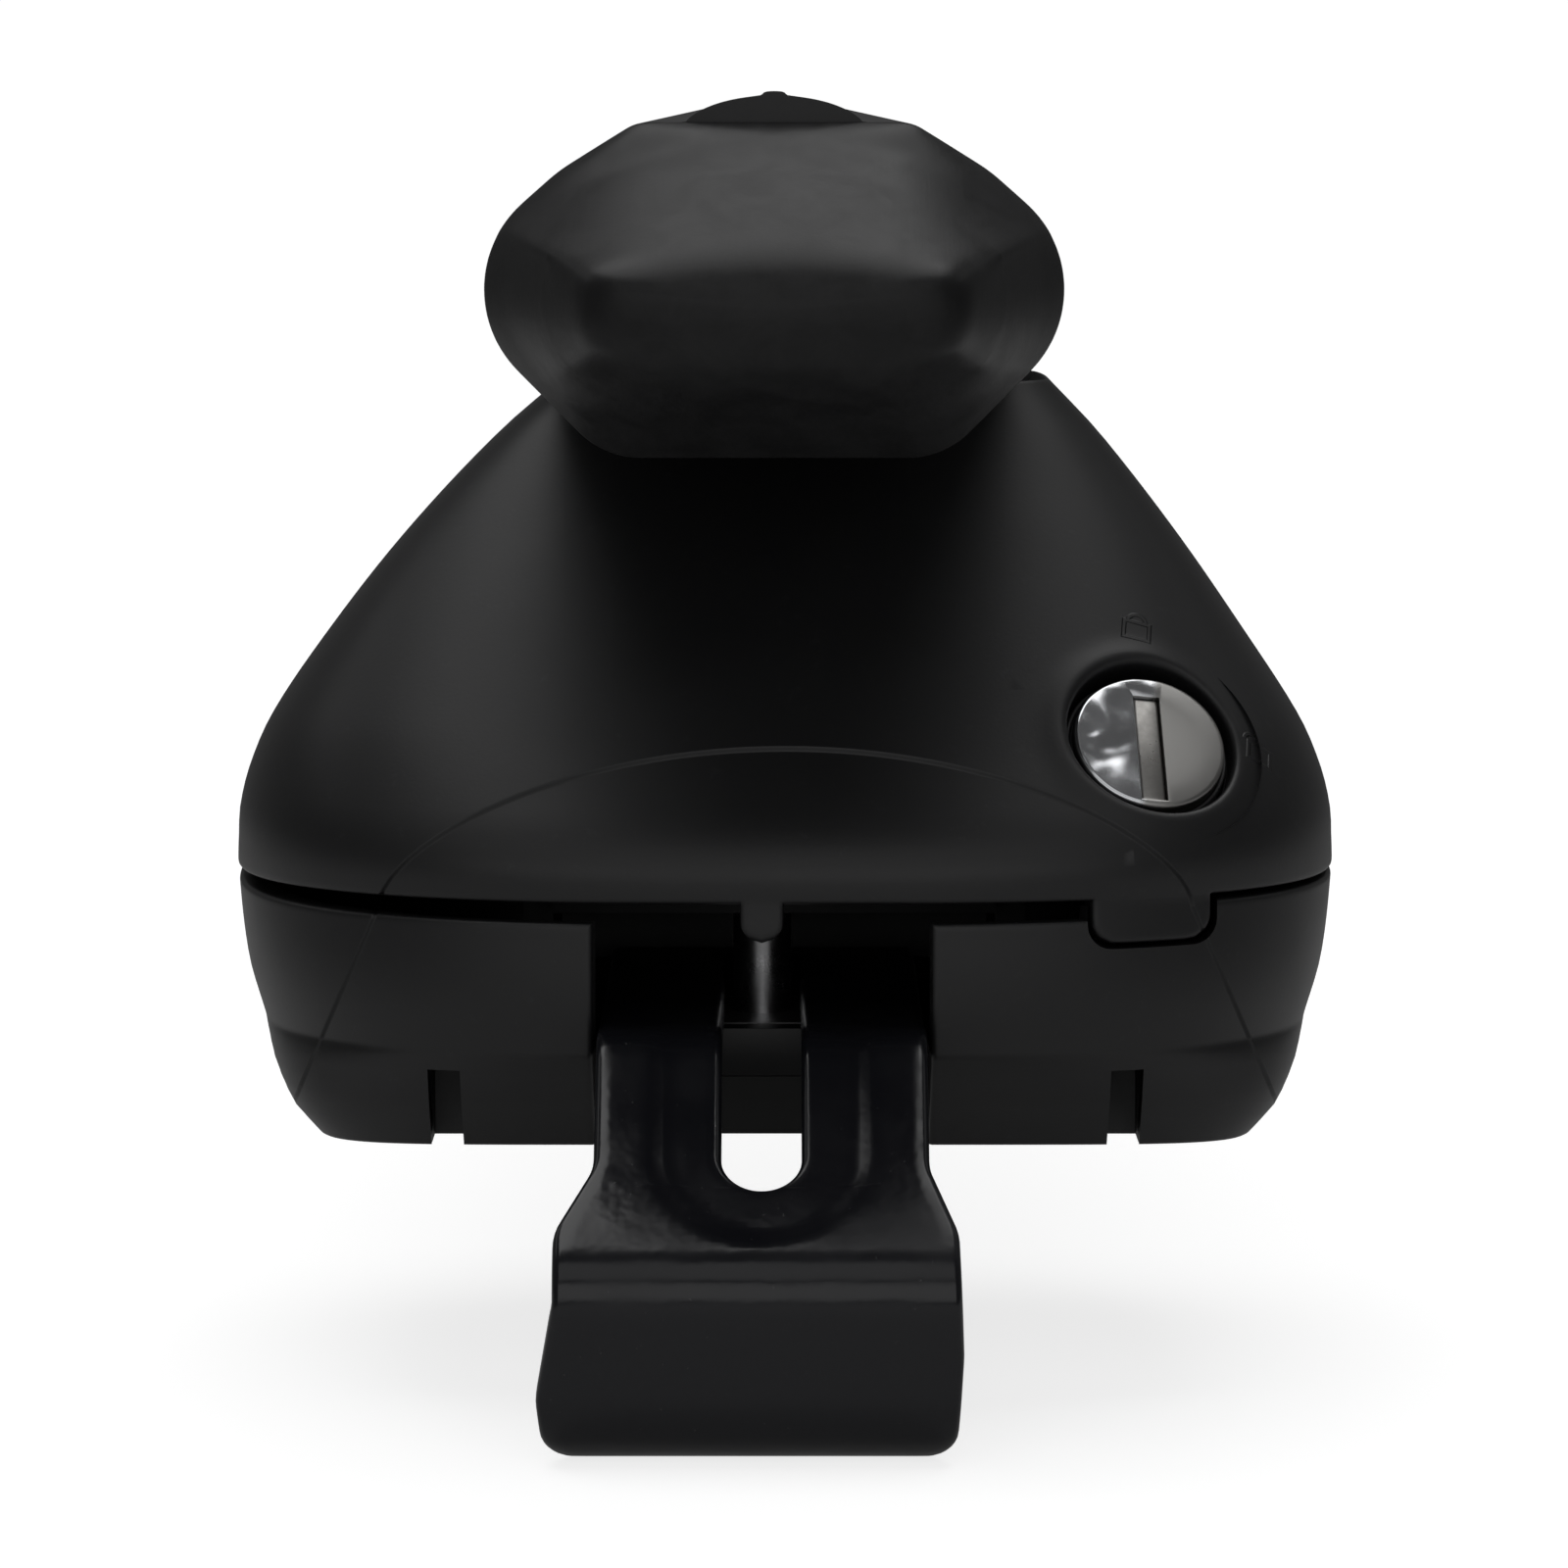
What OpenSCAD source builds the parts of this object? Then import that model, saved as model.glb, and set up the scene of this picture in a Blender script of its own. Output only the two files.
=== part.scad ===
// Roof rack crossbar: one extruded bar on two locking feet, each with a steel hook clamp.
// The bar runs along Y. The left foot is at -Y, and the right foot is the same foot turned half a turn.
// The crossbar stands on the hooks of its two clamps, at z = 0. The bar and the feet are drawn from a
// level a little above the ground, which the hooks reach down past.

/* [Bar] */
// Length of the extruded bar between its end caps
bar_len = 1150; // [1000:10:1300]
// Height of the bar's centre line above the level that the feet are drawn from
bar_z = 106.3; // [106:0.1:107]
// Half the bar's height
bar_half_h = 15.7; // [15.5:0.1:16]
// Half the width of the flat on top of the bar
bar_top_flat = 12.9; // [12.6:0.1:13.3]
// Half the width of the flat under the bar
bar_under_flat = 15.9; // [15.5:0.1:16.3]
// Half the width at which the two flanks of the bar would meet
bar_flank_x = 32.1; // [31.8:0.1:32.4]
// Wall of the extrusion
bar_wall = 2; // [1.6:0.1:2.4]
// Mouth of the accessory slot along the top
top_slot_mouth = 11; // [10.5:0.5:11.5]
// Mouth of the foot channel along the underside
foot_channel_mouth = 8; // [7:0.5:9]

/* [End cap] */
// How far an end cap stands out from the bar
cap_depth = 25; // [20:1:30]
// Length of the plugs that hold an end cap in the bar
cap_plug_len = 22; // [15:1:28]

/* [Foot] */
// From the middle of a foot out to the end of the bar
overhang = 60; // [57:1:80]
// Sideways offset of the foot's moulding from the bar
form_x = 1.1; // [0.8:0.1:1.4]
// Wall of the mouldings, measured level
wall = 3; // [2.6:0.1:3.2]
// Lower edge of the cover
cover_z = 47; // [46.8:0.1:47.4]
// How far behind the foot's middle the cover ends
split_y = 8; // [7:0.5:9]

/* [Lock] */
// Diameter of the lock's turning face
lock_d = 15.4; // [14.8:0.2:15.4]
// Length of the lock's barrel behind its face
barrel_len = 12.5; // [12:0.1:13]

/* [Clamp] */
// Sideways offset of the clamp from the bar
clamp_x = -1.2; // [-1.5:0.1:-0.9]
// Thickness of the hook's steel
hook_t = 3.5; // [3.2:0.1:3.5]
// How far out from the foot's middle the clamp screw stands
screw_out = 10; // [9.5:0.5:10.5]
// Width of the slot in the hook
slot_w = 7.6; // [7.2:0.1:8]
// Width of the hook's neck
neck_w = 31.8; // [30:0.2:31.8]
// From the clamp's middle to the right edge of the hook's plate
plate_right = 19; // [18:0.1:19.4]
// From the clamp's middle to the left edge of the hook's plate, where it is widest
plate_left = 21.2; // [20:0.1:21.6]
// How far the hooks reach down past the level that the feet are drawn from
hook_drop = 3.6; // [3.2:0.1:3.8]

/* [Hidden] */
$fn = 48;

foot_at = bar_len / 2 - overhang;
bar_under = bar_z - bar_half_h;
side_cell = 12;
play = 0.4;

// Foot's outer form under its ledge, by height: half width, reach of the front, reach of the rear
under_rows = [
    [21.3, 46.6, 36, 30],
    [24.5, 49.6, 39.6, 32.5],
    [28.5, 51.9, 44.6, 34.2],
    [32, 53, 49.2, 35]
];
// The same form above its ledge
form_rows = [
    [32, 53, 49.2, 35],
    [38, 54.7, 50.1, 36],
    [47, 55.7, 49.8, 36.2],
    [50, 55.6, 49.8, 36],
    [53, 55.4, 48.4, 35.7],
    [57, 54.4, 45.2, 35.2],
    [62, 52.2, 41, 34.5],
    [70, 46.9, 34.6, 33],
    [80, 39.5, 26.6, 30],
    [90, 30.9, 18.6, 26.6],
    [96, 24.6, 14, 24]
];
// Above this height the form leans sideways, by this much for the square of each millimetre
lean_from = 62;
lean_rate = 0.0018;
// Squareness of the form's front, by height
front_squareness = [[21.3, 8], [28.5, 3.9], [32, 2.9], [47, 2.8], [62, 3.4], [96, 4]];
rear_squareness = 4;
form_levels = [21.3, 24.5, 28.5, 32, 35, 39, 43, 47, 49, 51, 53.5, 57, 61, 66, 72, 79, 87, 94.8, 96];
form_bottom = 21.3;
form_top = 96;
form_mid = 5;
form_steps = 44;
floor_z = 31.4;
floor_under = 26.6;

// Lock: place of its face, tilt of its axis from upright, turn of the axis sideways, turn of the key slot
lock_at = [36.8, -37, 61.6];
lock_tilt = 51;
lock_side_turn = 16;
key_turn = -7.7;
plug_d = lock_d - 0.1;
barrel_d = lock_d + 2.2;
recess_d = barrel_d + 0.8;

// Clamp
leg_z = floor_z + 0.2;
leg_top = leg_z + hook_t;
screw_d = 5.9;
thread_bore = 6;
screw_len = 25;
bridge_z = 42.2;
bridge_t = 3;
washer_t = 1.6;
nut_t = 6.5;
tower_t = 3;
tower_half_w = 25.5;
tower_top = bar_under - 2;
tower_out = [-16, 13];
bar_bolt_out = [-10, 5.5];
tower_screw_out = [-10, 8];
bridge_tab_out = [-4, 10];

function unit(v) = v / norm(v);

// Points of the arc of radius r that rounds the corner b between a and c
function round_corner(a, b, c, r, steps) =
    let (
        to_a = unit(a - b),
        to_c = unit(c - b),
        half = acos(to_a * to_c) / 2,
        centre = b + unit(to_a + to_c) * r / sin(half),
        p = b + to_a * r / tan(half) - centre,
        q = b + to_c * r / tan(half) - centre,
        start = atan2(p.y, p.x),
        raw = atan2(q.y, q.x) - start,
        turn = raw > 180 ? raw - 360 : raw < -180 ? raw + 360 : raw
    )
    [for (i = [0 : steps]) centre + r * [cos(start + turn * i / steps), sin(start + turn * i / steps)]];

// A polygon's points with each corner rounded to its own radius
function rounded(points, radii, steps = 6) =
    let (n = len(points))
    [for (i = [0 : n - 1]) each radii[i] <= 0
        ? [points[i]]
        : round_corner(points[(i + n - 1) % n], points[i], points[(i + 1) % n], radii[i], steps)];

// A convex polygon's corners moved in by t from every edge
function inset(points, t) =
    let (n = len(points))
    [for (i = [0 : n - 1])
        let (
            to_a = unit(points[(i + n - 1) % n] - points[i]),
            to_c = unit(points[(i + 1) % n] - points[i])
        )
        points[i] + unit(to_a + to_c) * t / sin(acos(to_a * to_c) / 2)];

// The line that runs beside a bent line, t to its right
function beside(line, t) =
    let (n = len(line))
    [for (i = [0 : n - 1])
        let (
            before = unit(line[max(i, 1)] - line[max(i, 1) - 1]),
            after = unit(line[min(i + 1, n - 1)] - line[min(i + 1, n - 1) - 1]),
            right = unit([before.y + after.y, -before.x - after.x])
        )
        line[i] + right * t / (right * [before.y, -before.x])];

// Outline of a strip bent from sheet: its outer line, its thickness and the inside radius of its bends
function bent_strip(line, t, r) =
    let (
        n = len(line),
        inner = beside(line, t)
    )
    rounded(
        concat(line, [for (i = [n - 1 : -1 : 0]) inner[i]]),
        concat([for (i = [0 : n - 1]) i == 0 || i == n - 1 ? 0 : r + t],
            [for (i = [n - 1 : -1 : 0]) i == 0 || i == n - 1 ? 0 : r])
    );

// Bar profile, with z = 0 at the bar's centre line
bar_right = [[bar_top_flat, bar_half_h], [20.1, 11.2], [bar_flank_x, 0.6], [bar_under_flat, -bar_half_h]];
bar_right_radii = [4, 14, 10.8, 8];
bar_corners = concat(bar_right, [for (k = [3 : -1 : 0]) [-bar_right[k].x, bar_right[k].y]]);
bar_radii = concat(bar_right_radii, [for (k = [3 : -1 : 0]) bar_right_radii[k]]);

function bar_outline(grow = 0, steps = 6) =
    rounded(inset(bar_corners, -grow), [for (r = bar_radii) r + grow], steps);

// Slope of a column of the form's rows at row i
function row_slope(i, column) =
    let (
        low = max(i - 1, 0),
        high = min(i + 1, len(form_rows) - 1)
    )
    (form_rows[high][column] - form_rows[low][column]) / (form_rows[high][0] - form_rows[low][0]);

// A column of the form's rows at height z, on a smooth curve through the rows
function smooth_at(z, column) =
    let (
        found = [for (i = [0 : len(form_rows) - 2]) if (z >= form_rows[i][0]) i],
        i = found[len(found) - 1],
        h = form_rows[i + 1][0] - form_rows[i][0],
        t = (z - form_rows[i][0]) / h
    )
    (2 * t ^ 3 - 3 * t ^ 2 + 1) * form_rows[i][column]
        + (t ^ 3 - 2 * t ^ 2 + t) * row_slope(i, column) * h
        + (3 * t ^ 2 - 2 * t ^ 3) * form_rows[i + 1][column]
        + (t ^ 3 - t ^ 2) * row_slope(i + 1, column) * h;

function form_at(z, column) =
    z < form_rows[0][0] ? lookup(z, [for (row = under_rows) [row[0], row[column]]]) : smooth_at(z, column);

// One level of the foot's form, moved in by t
function form_ring(z, t = 0) =
    [for (i = [0 : form_steps - 1])
        let (
            a = 360 * i / form_steps,
            ahead = sin(a) >= 0,
            p = ahead ? lookup(z, front_squareness) : rear_squareness,
            reach = ahead ? form_at(z, 2) - form_mid : form_at(z, 3) + form_mid,
            across = sign(cos(a)) * abs(cos(a)) ^ (2 / p),
            out = sign(sin(a)) * abs(sin(a)) ^ (2 / p),
            lean = lean_rate * max(0, z - lean_from) ^ 2
        )
        [form_x + lean + (form_at(z, 1) - t) * across, -form_mid - (reach - t) * out, z]];

// A solid through closed rings of points, the lowest ring first
module loft(rings) {
    n = len(rings[0]);
    m = len(rings);
    polyhedron(
        points = [for (ring = rings) each ring],
        faces = concat(
            [[for (i = [n - 1 : -1 : 0]) i]],
            [for (k = [0 : m - 2]) for (i = [0 : n - 1]) each
                let (a = k * n + i, b = k * n + (i + 1) % n)
                [[a, b, a + n], [b, b + n, a + n]]],
            [[for (i = [0 : n - 1]) (m - 1) * n + i]]
        )
    );
}

// The foot's whole outer form
module foot_form() {
    loft([for (z = form_levels) form_ring(z)]);
}

// The space inside the foot's walls, above its floor
module foot_space() {
    loft([for (z = concat([floor_z], [for (z = form_levels) if (z > floor_z + 1) z])) form_ring(z, wall)]);
}

// Runs a drawing of the foot's front view outwards, from one distance to another
module outwards(from, to) {
    translate([0, -from, 0]) rotate([90, 0, 0]) linear_extrude(to - from) children();
}

// Runs a drawing of the foot's side view across the foot
module across(width) {
    rotate([90, 0, -90]) linear_extrude(width, center = true) children();
}

// The bar's profile as a hole through the foot
module bar_hole(gap) {
    outwards(-60, 90) translate([0, bar_z]) polygon(bar_outline(gap, 4));
}

module box(x, out, z) {
    translate([x[0], -out[1], z[0]]) cube([x[1] - x[0], out[1] - out[0], z[1] - z[0]]);
}

module at_lock() {
    translate(lock_at) rotate([lock_tilt, 0, lock_side_turn]) rotate([0, 0, key_turn]) children();
}

// Front view of the cover's locating tab and tongue, grown by a gap
tab_x = [30.8, 42.7];
tab_z = 42.8;
tongue_w = 4.2;
tongue_z = 43.3;

module tab_view(gap) {
    polygon(rounded(
        [[tab_x[0] - gap, cover_z + 4], [tab_x[0] - gap, tab_z - gap], [tab_x[1] + gap, tab_z - gap],
            [tab_x[1] + gap, cover_z + 4]],
        [0, 2.4, 2.4, 0], 4
    ));
}

module tongue_view() {
    translate([clamp_x - tongue_w / 2, tongue_z + tongue_w / 2]) square([tongue_w, 6]);
    translate([clamp_x, tongue_z + tongue_w / 2]) circle(d = tongue_w);
}

module bar() {
    color("#222326")
    translate([0, 0, bar_z])
    rotate([90, 0, 0])
    linear_extrude(bar_len, center = true)
    difference() {
        polygon(bar_outline());
        for (s = [-1, 1]) bar_side_cell(s, 0);
        square([20, 11.4], center = true);
        translate([-10, 7.5]) square([20, 6]);
        translate([-top_slot_mouth / 2, 10]) square([top_slot_mouth, 10]);
        translate([-7.5, -13.5]) square([15, 6]);
        translate([-foot_channel_mouth / 2, -20]) square([foot_channel_mouth, 10]);
    }
}

// One of the bar's two side cells, smaller by a gap
module bar_side_cell(side, gap) {
    intersection() {
        polygon(bar_outline(-bar_wall - gap));
        translate([side > 0 ? side_cell + gap : -40 - side_cell - gap, -20]) square([40, 40]);
    }
}

module slot_strip() {
    dome_rx = 8.8;
    dome_rz = 3.7;
    color("#141415")
    translate([0, 0, bar_z + bar_half_h])
    rotate([90, 0, 0])
    linear_extrude(bar_len, center = true)
    union() {
        intersection() {
            polygon([for (a = [0 : 10 : 180]) [dome_rx * cos(a), dome_rz * sin(a) - 1.2]]);
            translate([-10, 0]) square([20, 4]);
        }
        translate([-1.1, 1]) square([2.2, 1.9]);
        translate([-5.3, -4]) square([10.6, 5]);
        translate([-8.6, -6.5]) square([17.2, 3.6]);
    }
}

// End cap: the bar's outline drawn in to a narrow nose, on two plugs
nose_top = 1.6;
nose_under = -4.4;
nose_mid = (nose_top + nose_under) / 2;
nose_half = 16.1;
nose_round = 1.7;
nose_start = 0.93;
keel = [[17, -11.4], [9.5, -9.2]];
keel_at = [0.3, 0.72];
facet_z = -8.4;
cap_levels = [0, 0.08, 0.16, 0.24, 0.32, 0.42, 0.52, 0.62, 0.72, 0.8, 0.87, 0.93, 0.955, 0.975, 0.99, 1];

// Right half of the bar's outline, with one more point on its lower flank
under_flank = bar_right[3] - bar_right[2];
cap_flank = bar_right[2] + under_flank * (facet_z - bar_right[2].y) / under_flank.y;
cap_right = [bar_right[0], bar_right[1], bar_right[2], cap_flank, bar_right[3]];
cap_right_radii = [bar_right_radii[0], bar_right_radii[1], bar_right_radii[2], 0, bar_right_radii[3]];

function cap_outline() =
    rounded(
        concat(cap_right, [for (k = [4 : -1 : 0]) [-cap_right[k].x, cap_right[k].y]]),
        concat(cap_right_radii, [for (k = [4 : -1 : 0]) cap_right_radii[k]])
    );

// Where the points of that half end, by how far round the nose's squared oval each one lies
nose_turns = [[0, 76], [13, 48], [14, 44], [20, -40], [21, -46], [22, -51], [28, -76]];
nose_square = 0.45;
nose_points = [for (k = [0 : 28])
    let (turn = lookup(k, nose_turns))
    [nose_half * cos(turn) ^ nose_square,
        nose_mid + (nose_top - nose_mid) * sign(turn) * abs(sin(turn)) ^ nose_square]];
top_points = 14;
keel_from = 22;

// Point k of the right half at depth t, on its way from the bar's outline to the nose
function cap_point(from, k, t) =
    let (
        to = nose_points[k],
        s = (k - keel_from) / 6,
        bend = keel_at[0] + (keel_at[1] - keel_at[0]) * s,
        via = keel[0] + (keel[1] - keel[0]) * s,
        edge = max(0, t - nose_start) / (1 - nose_start),
        p = k < top_points ? from + (to - from) * t ^ 1.2
            : k < keel_from ? from + (to - from) * t
            : t < bend ? from + (via - from) * t / bend
            : via + (to - via) * (t - bend) / (1 - bend)
    )
    [
        p.x * (1 - nose_round / nose_half * (1 - sqrt(1 - edge ^ 2))),
        nose_mid + (p.y - nose_mid) * (1 - nose_round / (nose_top - nose_mid) * (1 - sqrt(1 - edge ^ 2)))
    ];

module end_cap() {
    from = cap_outline();
    half = len(nose_points);
    color("#1d1e20") {
        translate([0, -bar_len / 2, bar_z])
        rotate([90, 0, 0])
        loft([for (t = cap_levels)
            [for (i = [0 : 2 * half - 1])
                let (
                    right = i < half,
                    k = right ? i : 2 * half - 1 - i,
                    p = cap_point([abs(from[i].x), from[i].y], k, t)
                )
                [right ? p.x : -p.x, p.y, cap_depth * t]]]);
        for (s = [-1, 1])
            translate([0, -bar_len / 2 + cap_plug_len, bar_z])
            rotate([90, 0, 0])
            linear_extrude(cap_plug_len)
            bar_side_cell(s, 0.2);
    }
}

// Base: tray, floor and back of the foot, in one moulding
opening_x = [-17.6, 15.2];
opening_from = 24;
notch_z = 30.1;

module base() {
    color("#1f2023")
    difference() {
        union() {
            difference() {
                foot_form();
                foot_space();
            }
            for (s = [-1, 1]) box([s * 32 - 5, s * 32 + 5], [-14, 14], [floor_under, floor_z]);
        }
        box([-70, 70], [-split_y - play, 70], [cover_z - 0.5, 110]);
        translate([-70, -form_mid, cover_z - 0.8]) rotate([1.4, 0, 0]) translate([0, -70, 0])
            cube([70 + tab_x[0], 70 + form_mid - split_y, 8]);
        outwards(10, 70) tab_view(play + 0.1);
        bar_hole(0.15);
        box(opening_x, [opening_from, 70], [0, 60]);
        box([clamp_x - 12.5, clamp_x + 12.5], [screw_out - 10.5, screw_out + 10.5], [20, floor_z + 1]);
        pad_space(0.15, floor_under);
        for (s = [-1, 1]) box([form_x + s * 33.3 - 1.6, form_x + s * 33.3 + 1.6], [29, 60], [10, notch_z]);
        for (s = [-1, 1], out = tower_screw_out) translate([s * 32, -out, 20]) cylinder(d = 4, h = 20);
    }
}

module pad_space(gap, top) {
    outline = rounded(
        [[form_x - 39, -23.8], [form_x + 39, -23.8], [form_x + 39, 25], [form_x - 39, 25]],
        [4, 4, 4, 4]
    );
    translate([0, 0, 10]) linear_extrude(top - 10) offset(delta = gap) polygon(outline);
}

pad_under = 20.7;

module foot_pad() {
    color("#101011")
    difference() {
        pad_space(0, floor_under - 0.1);
        translate([-80, -80, 0]) cube([160, 160, pad_under]);
        box([clamp_x - 12.5, clamp_x + 12.5], [screw_out - 10.5, screw_out + 10.5], [20, floor_z]);
        for (x = [-30, -24, 24, 30], out = [-21 : 6 : 21])
            translate([x + form_x, -out, pad_under - 1]) cylinder(d = 3, h = 1.6);
    }
}

// Tower: hat-shaped channel of folded steel that carries the bar
module tower() {
    hat = rounded(
        [
            [-39, floor_z], [-39, floor_z + tower_t], [-tower_half_w, floor_z + tower_t],
            [-tower_half_w, tower_top], [tower_half_w, tower_top],
            [tower_half_w, floor_z + tower_t], [39, floor_z + tower_t], [39, floor_z],
            [tower_half_w - tower_t, floor_z], [tower_half_w - tower_t, tower_top - tower_t],
            [tower_t - tower_half_w, tower_top - tower_t], [tower_t - tower_half_w, floor_z]
        ],
        [0, 0, 1.5, 4.5, 4.5, 1.5, 0, 0, 4.5, 1.5, 1.5, 4.5]
    );
    color("#6d7074")
    difference() {
        outwards(tower_out[0], tower_out[1]) polygon(hat);
        for (out = bar_bolt_out) translate([0, -out, 80]) cylinder(d = 6.5, h = 12);
        for (s = [-1, 1], out = tower_screw_out) translate([s * 32, -out, 30]) cylinder(d = 5.4, h = 8);
        box([-40, 40], [bridge_tab_out[0] - 0.1, bridge_tab_out[1] + 0.1],
            [bridge_z - 0.1, bridge_z + bridge_t + 0.1]);
        box([-40, 40], [-9, 6], [56, 74]);
    }
}

module bridge_plate() {
    color("#6d7074")
    difference() {
        union() {
            box([-22.4, 22.4], [-10, 17], [bridge_z, bridge_z + bridge_t]);
            box([-27, 27], bridge_tab_out, [bridge_z, bridge_z + bridge_t]);
        }
        translate([clamp_x, -screw_out, bridge_z - 1]) cylinder(d = 6.6, h = 8);
    }
}

module bar_saddle() {
    color("#161618")
    difference() {
        box([-15, 15], tower_out, [tower_top, bar_under]);
        for (out = bar_bolt_out) translate([0, -out, tower_top - 1]) cylinder(d = 6.4, h = 6);
    }
}

// Tee bolts in the bar's lower channel
module bar_bolts() {
    head_z = bar_under + 2.3;
    color("#9a9da0")
    for (out = bar_bolt_out) translate([0, -out, 0]) {
        translate([-6.5, -6, head_z]) cube([13, 12, 3.6]);
        translate([0, 0, tower_top - 13]) cylinder(d = 6, h = head_z - tower_top + 14);
    }
}

module bar_nuts() {
    color("#9a9da0")
    for (out = bar_bolt_out) translate([0, -out, tower_top - tower_t - 6]) difference() {
        union() {
            cylinder(d = 11.5, h = 5, $fn = 6);
            translate([0, 0, 5]) cylinder(d = 14, h = 1);
        }
        translate([0, 0, -1]) cylinder(d = 6, h = 8);
    }
}

module tower_screws() {
    head_z = floor_z + tower_t;
    color("#9a9da0")
    for (s = [-1, 1], out = tower_screw_out) translate([s * 32, -out, 0]) difference() {
        union() {
            translate([0, 0, head_z]) cylinder(d = 8, h = 2);
            translate([0, 0, head_z + 2]) cylinder(d1 = 8, d2 = 5, h = 1);
            translate([0, 0, floor_under + 0.3]) cylinder(d = 4, h = 8);
        }
        translate([0, 0, head_z + 1]) cylinder(d = 3, h = 3, $fn = 6);
    }
}

// Cover: lift-off shell that hides the clamp, with the lock in its face
module cover() {
    color("#1a1b1e")
    difference() {
        union() {
            intersection() {
                difference() {
                    foot_form();
                    foot_space();
                    bar_hole(play);
                }
                union() {
                    box([-70, 70], [-split_y, 70], [cover_z, 110]);
                    outwards(20, 70) tab_view(0);
                    outwards(30, 70) tongue_view();
                }
            }
            intersection() {
                foot_form();
                at_lock() translate([0, 0, -9]) cylinder(d = 22, h = 12);
            }
        }
        at_lock() {
            translate([0, 0, -30]) cylinder(d = barrel_d, h = 60);
            translate([0, 0, -1]) cylinder(d = recess_d, h = 30);
        }
    }
}

module lock_barrel() {
    back = -barrel_len;
    color("#26272a")
    at_lock()
    difference() {
        translate([0, 0, back]) cylinder(d = barrel_d - 0.1, h = barrel_len - 1);
        translate([0, 0, back + 1.5]) cylinder(d = lock_d, h = 20);
        translate([0, 0, back - 1]) cylinder(d = 6.1, h = 4);
    }
}

module barrel_nut() {
    color("#5d6063")
    at_lock()
    translate([0, 0, -11.8])
    difference() {
        cylinder(d = 23, h = 2.6, $fn = 6);
        translate([0, 0, -1]) cylinder(d = barrel_d - 0.1, h = 5);
    }
}

key_slot = [2.7, 10.5];

module lock_plug() {
    color("#b9babb")
    at_lock()
    difference() {
        union() {
            translate([0, 0, 1.7 - barrel_len]) cylinder(d = plug_d, h = barrel_len - 2);
            translate([0, 0, -0.4]) cylinder(d1 = plug_d, d2 = plug_d - 0.8, h = 0.4);
            translate([0, 0, -barrel_len - 3]) cylinder(d = 6, h = 6);
        }
        translate([-key_slot.x / 2, -key_slot.y / 2, -7]) cube([key_slot.x, key_slot.y, 10]);
        translate([0, 0, -barrel_len - 4]) cylinder(d = 2.4, h = 6);
    }
}

module key_shutter() {
    color("#8f9193")
    at_lock()
    translate([-key_slot.x / 2, -key_slot.y / 2, -2]) cube([key_slot.x, key_slot.y, 0.7]);
}

module lock_cam() {
    cam_t = 2.2;
    color("#7b7e81")
    at_lock()
    translate([0, 0, -barrel_len - 0.3 - cam_t])
    difference() {
        linear_extrude(cam_t)
        hull() {
            circle(d = 10);
            translate([-9.5, 0]) circle(d = 5);
        }
        translate([0, 0, -1]) cylinder(d = 6, h = 5);
    }
}

module cam_screw() {
    color("#9a9da0")
    at_lock()
    translate([0, 0, -barrel_len - 3]) {
        difference() {
            translate([0, 0, -2]) cylinder(d = 7.6, h = 2);
            translate([0, 0, -3]) cylinder(d = 2.5, h = 2.2, $fn = 6);
        }
        translate([0, 0, -0.5]) cylinder(d = 2.4, h = 3);
    }
}

module clamp_screw() {
    seat = bridge_z + bridge_t + washer_t;
    color("#a6a8aa")
    translate([clamp_x, -screw_out, 0])
    difference() {
        union() {
            translate([0, 0, seat]) cylinder(d = 10, h = 5.4);
            translate([0, 0, seat + 5.4]) cylinder(d1 = 10, d2 = 8.8, h = 0.6);
            translate([0, 0, seat - screw_len + 1]) cylinder(d = screw_d, h = screw_len);
            translate([0, 0, seat - screw_len]) cylinder(d1 = screw_d - 2, d2 = screw_d, h = 1);
        }
        translate([0, 0, seat + 2.6]) cylinder(d = 5.77, h = 5, $fn = 6);
    }
}

module screw_washer() {
    color("#9a9da0")
    translate([clamp_x, -screw_out, bridge_z + bridge_t])
    difference() {
        cylinder(d = 12.5, h = washer_t - 0.05);
        translate([0, 0, -1]) cylinder(d = 6.4, h = 4);
    }
}

module nut_plate() {
    color("#85888b")
    difference() {
        box([clamp_x - 12, clamp_x + 12], [screw_out - 10, screw_out + 10], [floor_z - nut_t, floor_z]);
        translate([clamp_x, -screw_out, 10]) cylinder(d = thread_bore, h = 30);
    }
}

// Hook: slotted steel strip, bent down and out, then down to a hooked foot
hook_line = [[-12, leg_top], [52.6, leg_top], [73.4, 14.6], [71.5, -hook_drop], [60.6, -hook_drop]];
hook_bend_r = 4;
neck_z = 24;
shoulder_z = 18.7;
flare_z = 12.2;
heel_z = 3;
plate_flare = 1.6;
slot_from = -6.2;
slot_end_z = 22.4;
slope = atan2(hook_line[1].y - hook_line[2].y, hook_line[2].x - hook_line[1].x);
slot_r = slot_w / 2;
slot_turn_z = slot_end_z + slot_r * sin(slope);
slot_turn_out = hook_line[1].x + (hook_line[1].y - slot_turn_z) / tan(slope);

// Front view of the hook
module hook_view() {
    base_z = -hook_drop - 0.01;
    polygon(rounded(
        [
            [-neck_w / 2, 60], [-neck_w / 2, neck_z], [plate_flare - plate_left, shoulder_z],
            [plate_flare - plate_left, flare_z], [-plate_left, heel_z], [0.6 - plate_left, base_z],
            [plate_right - 0.6, base_z], [plate_right, heel_z + 4], [plate_right - 0.4, shoulder_z],
            [neck_w / 2, neck_z], [neck_w / 2, 60]
        ],
        [0, 3, 3, 3, 6, 2.8, 2.8, 8, 3, 3, 0]
    ));
}

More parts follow.
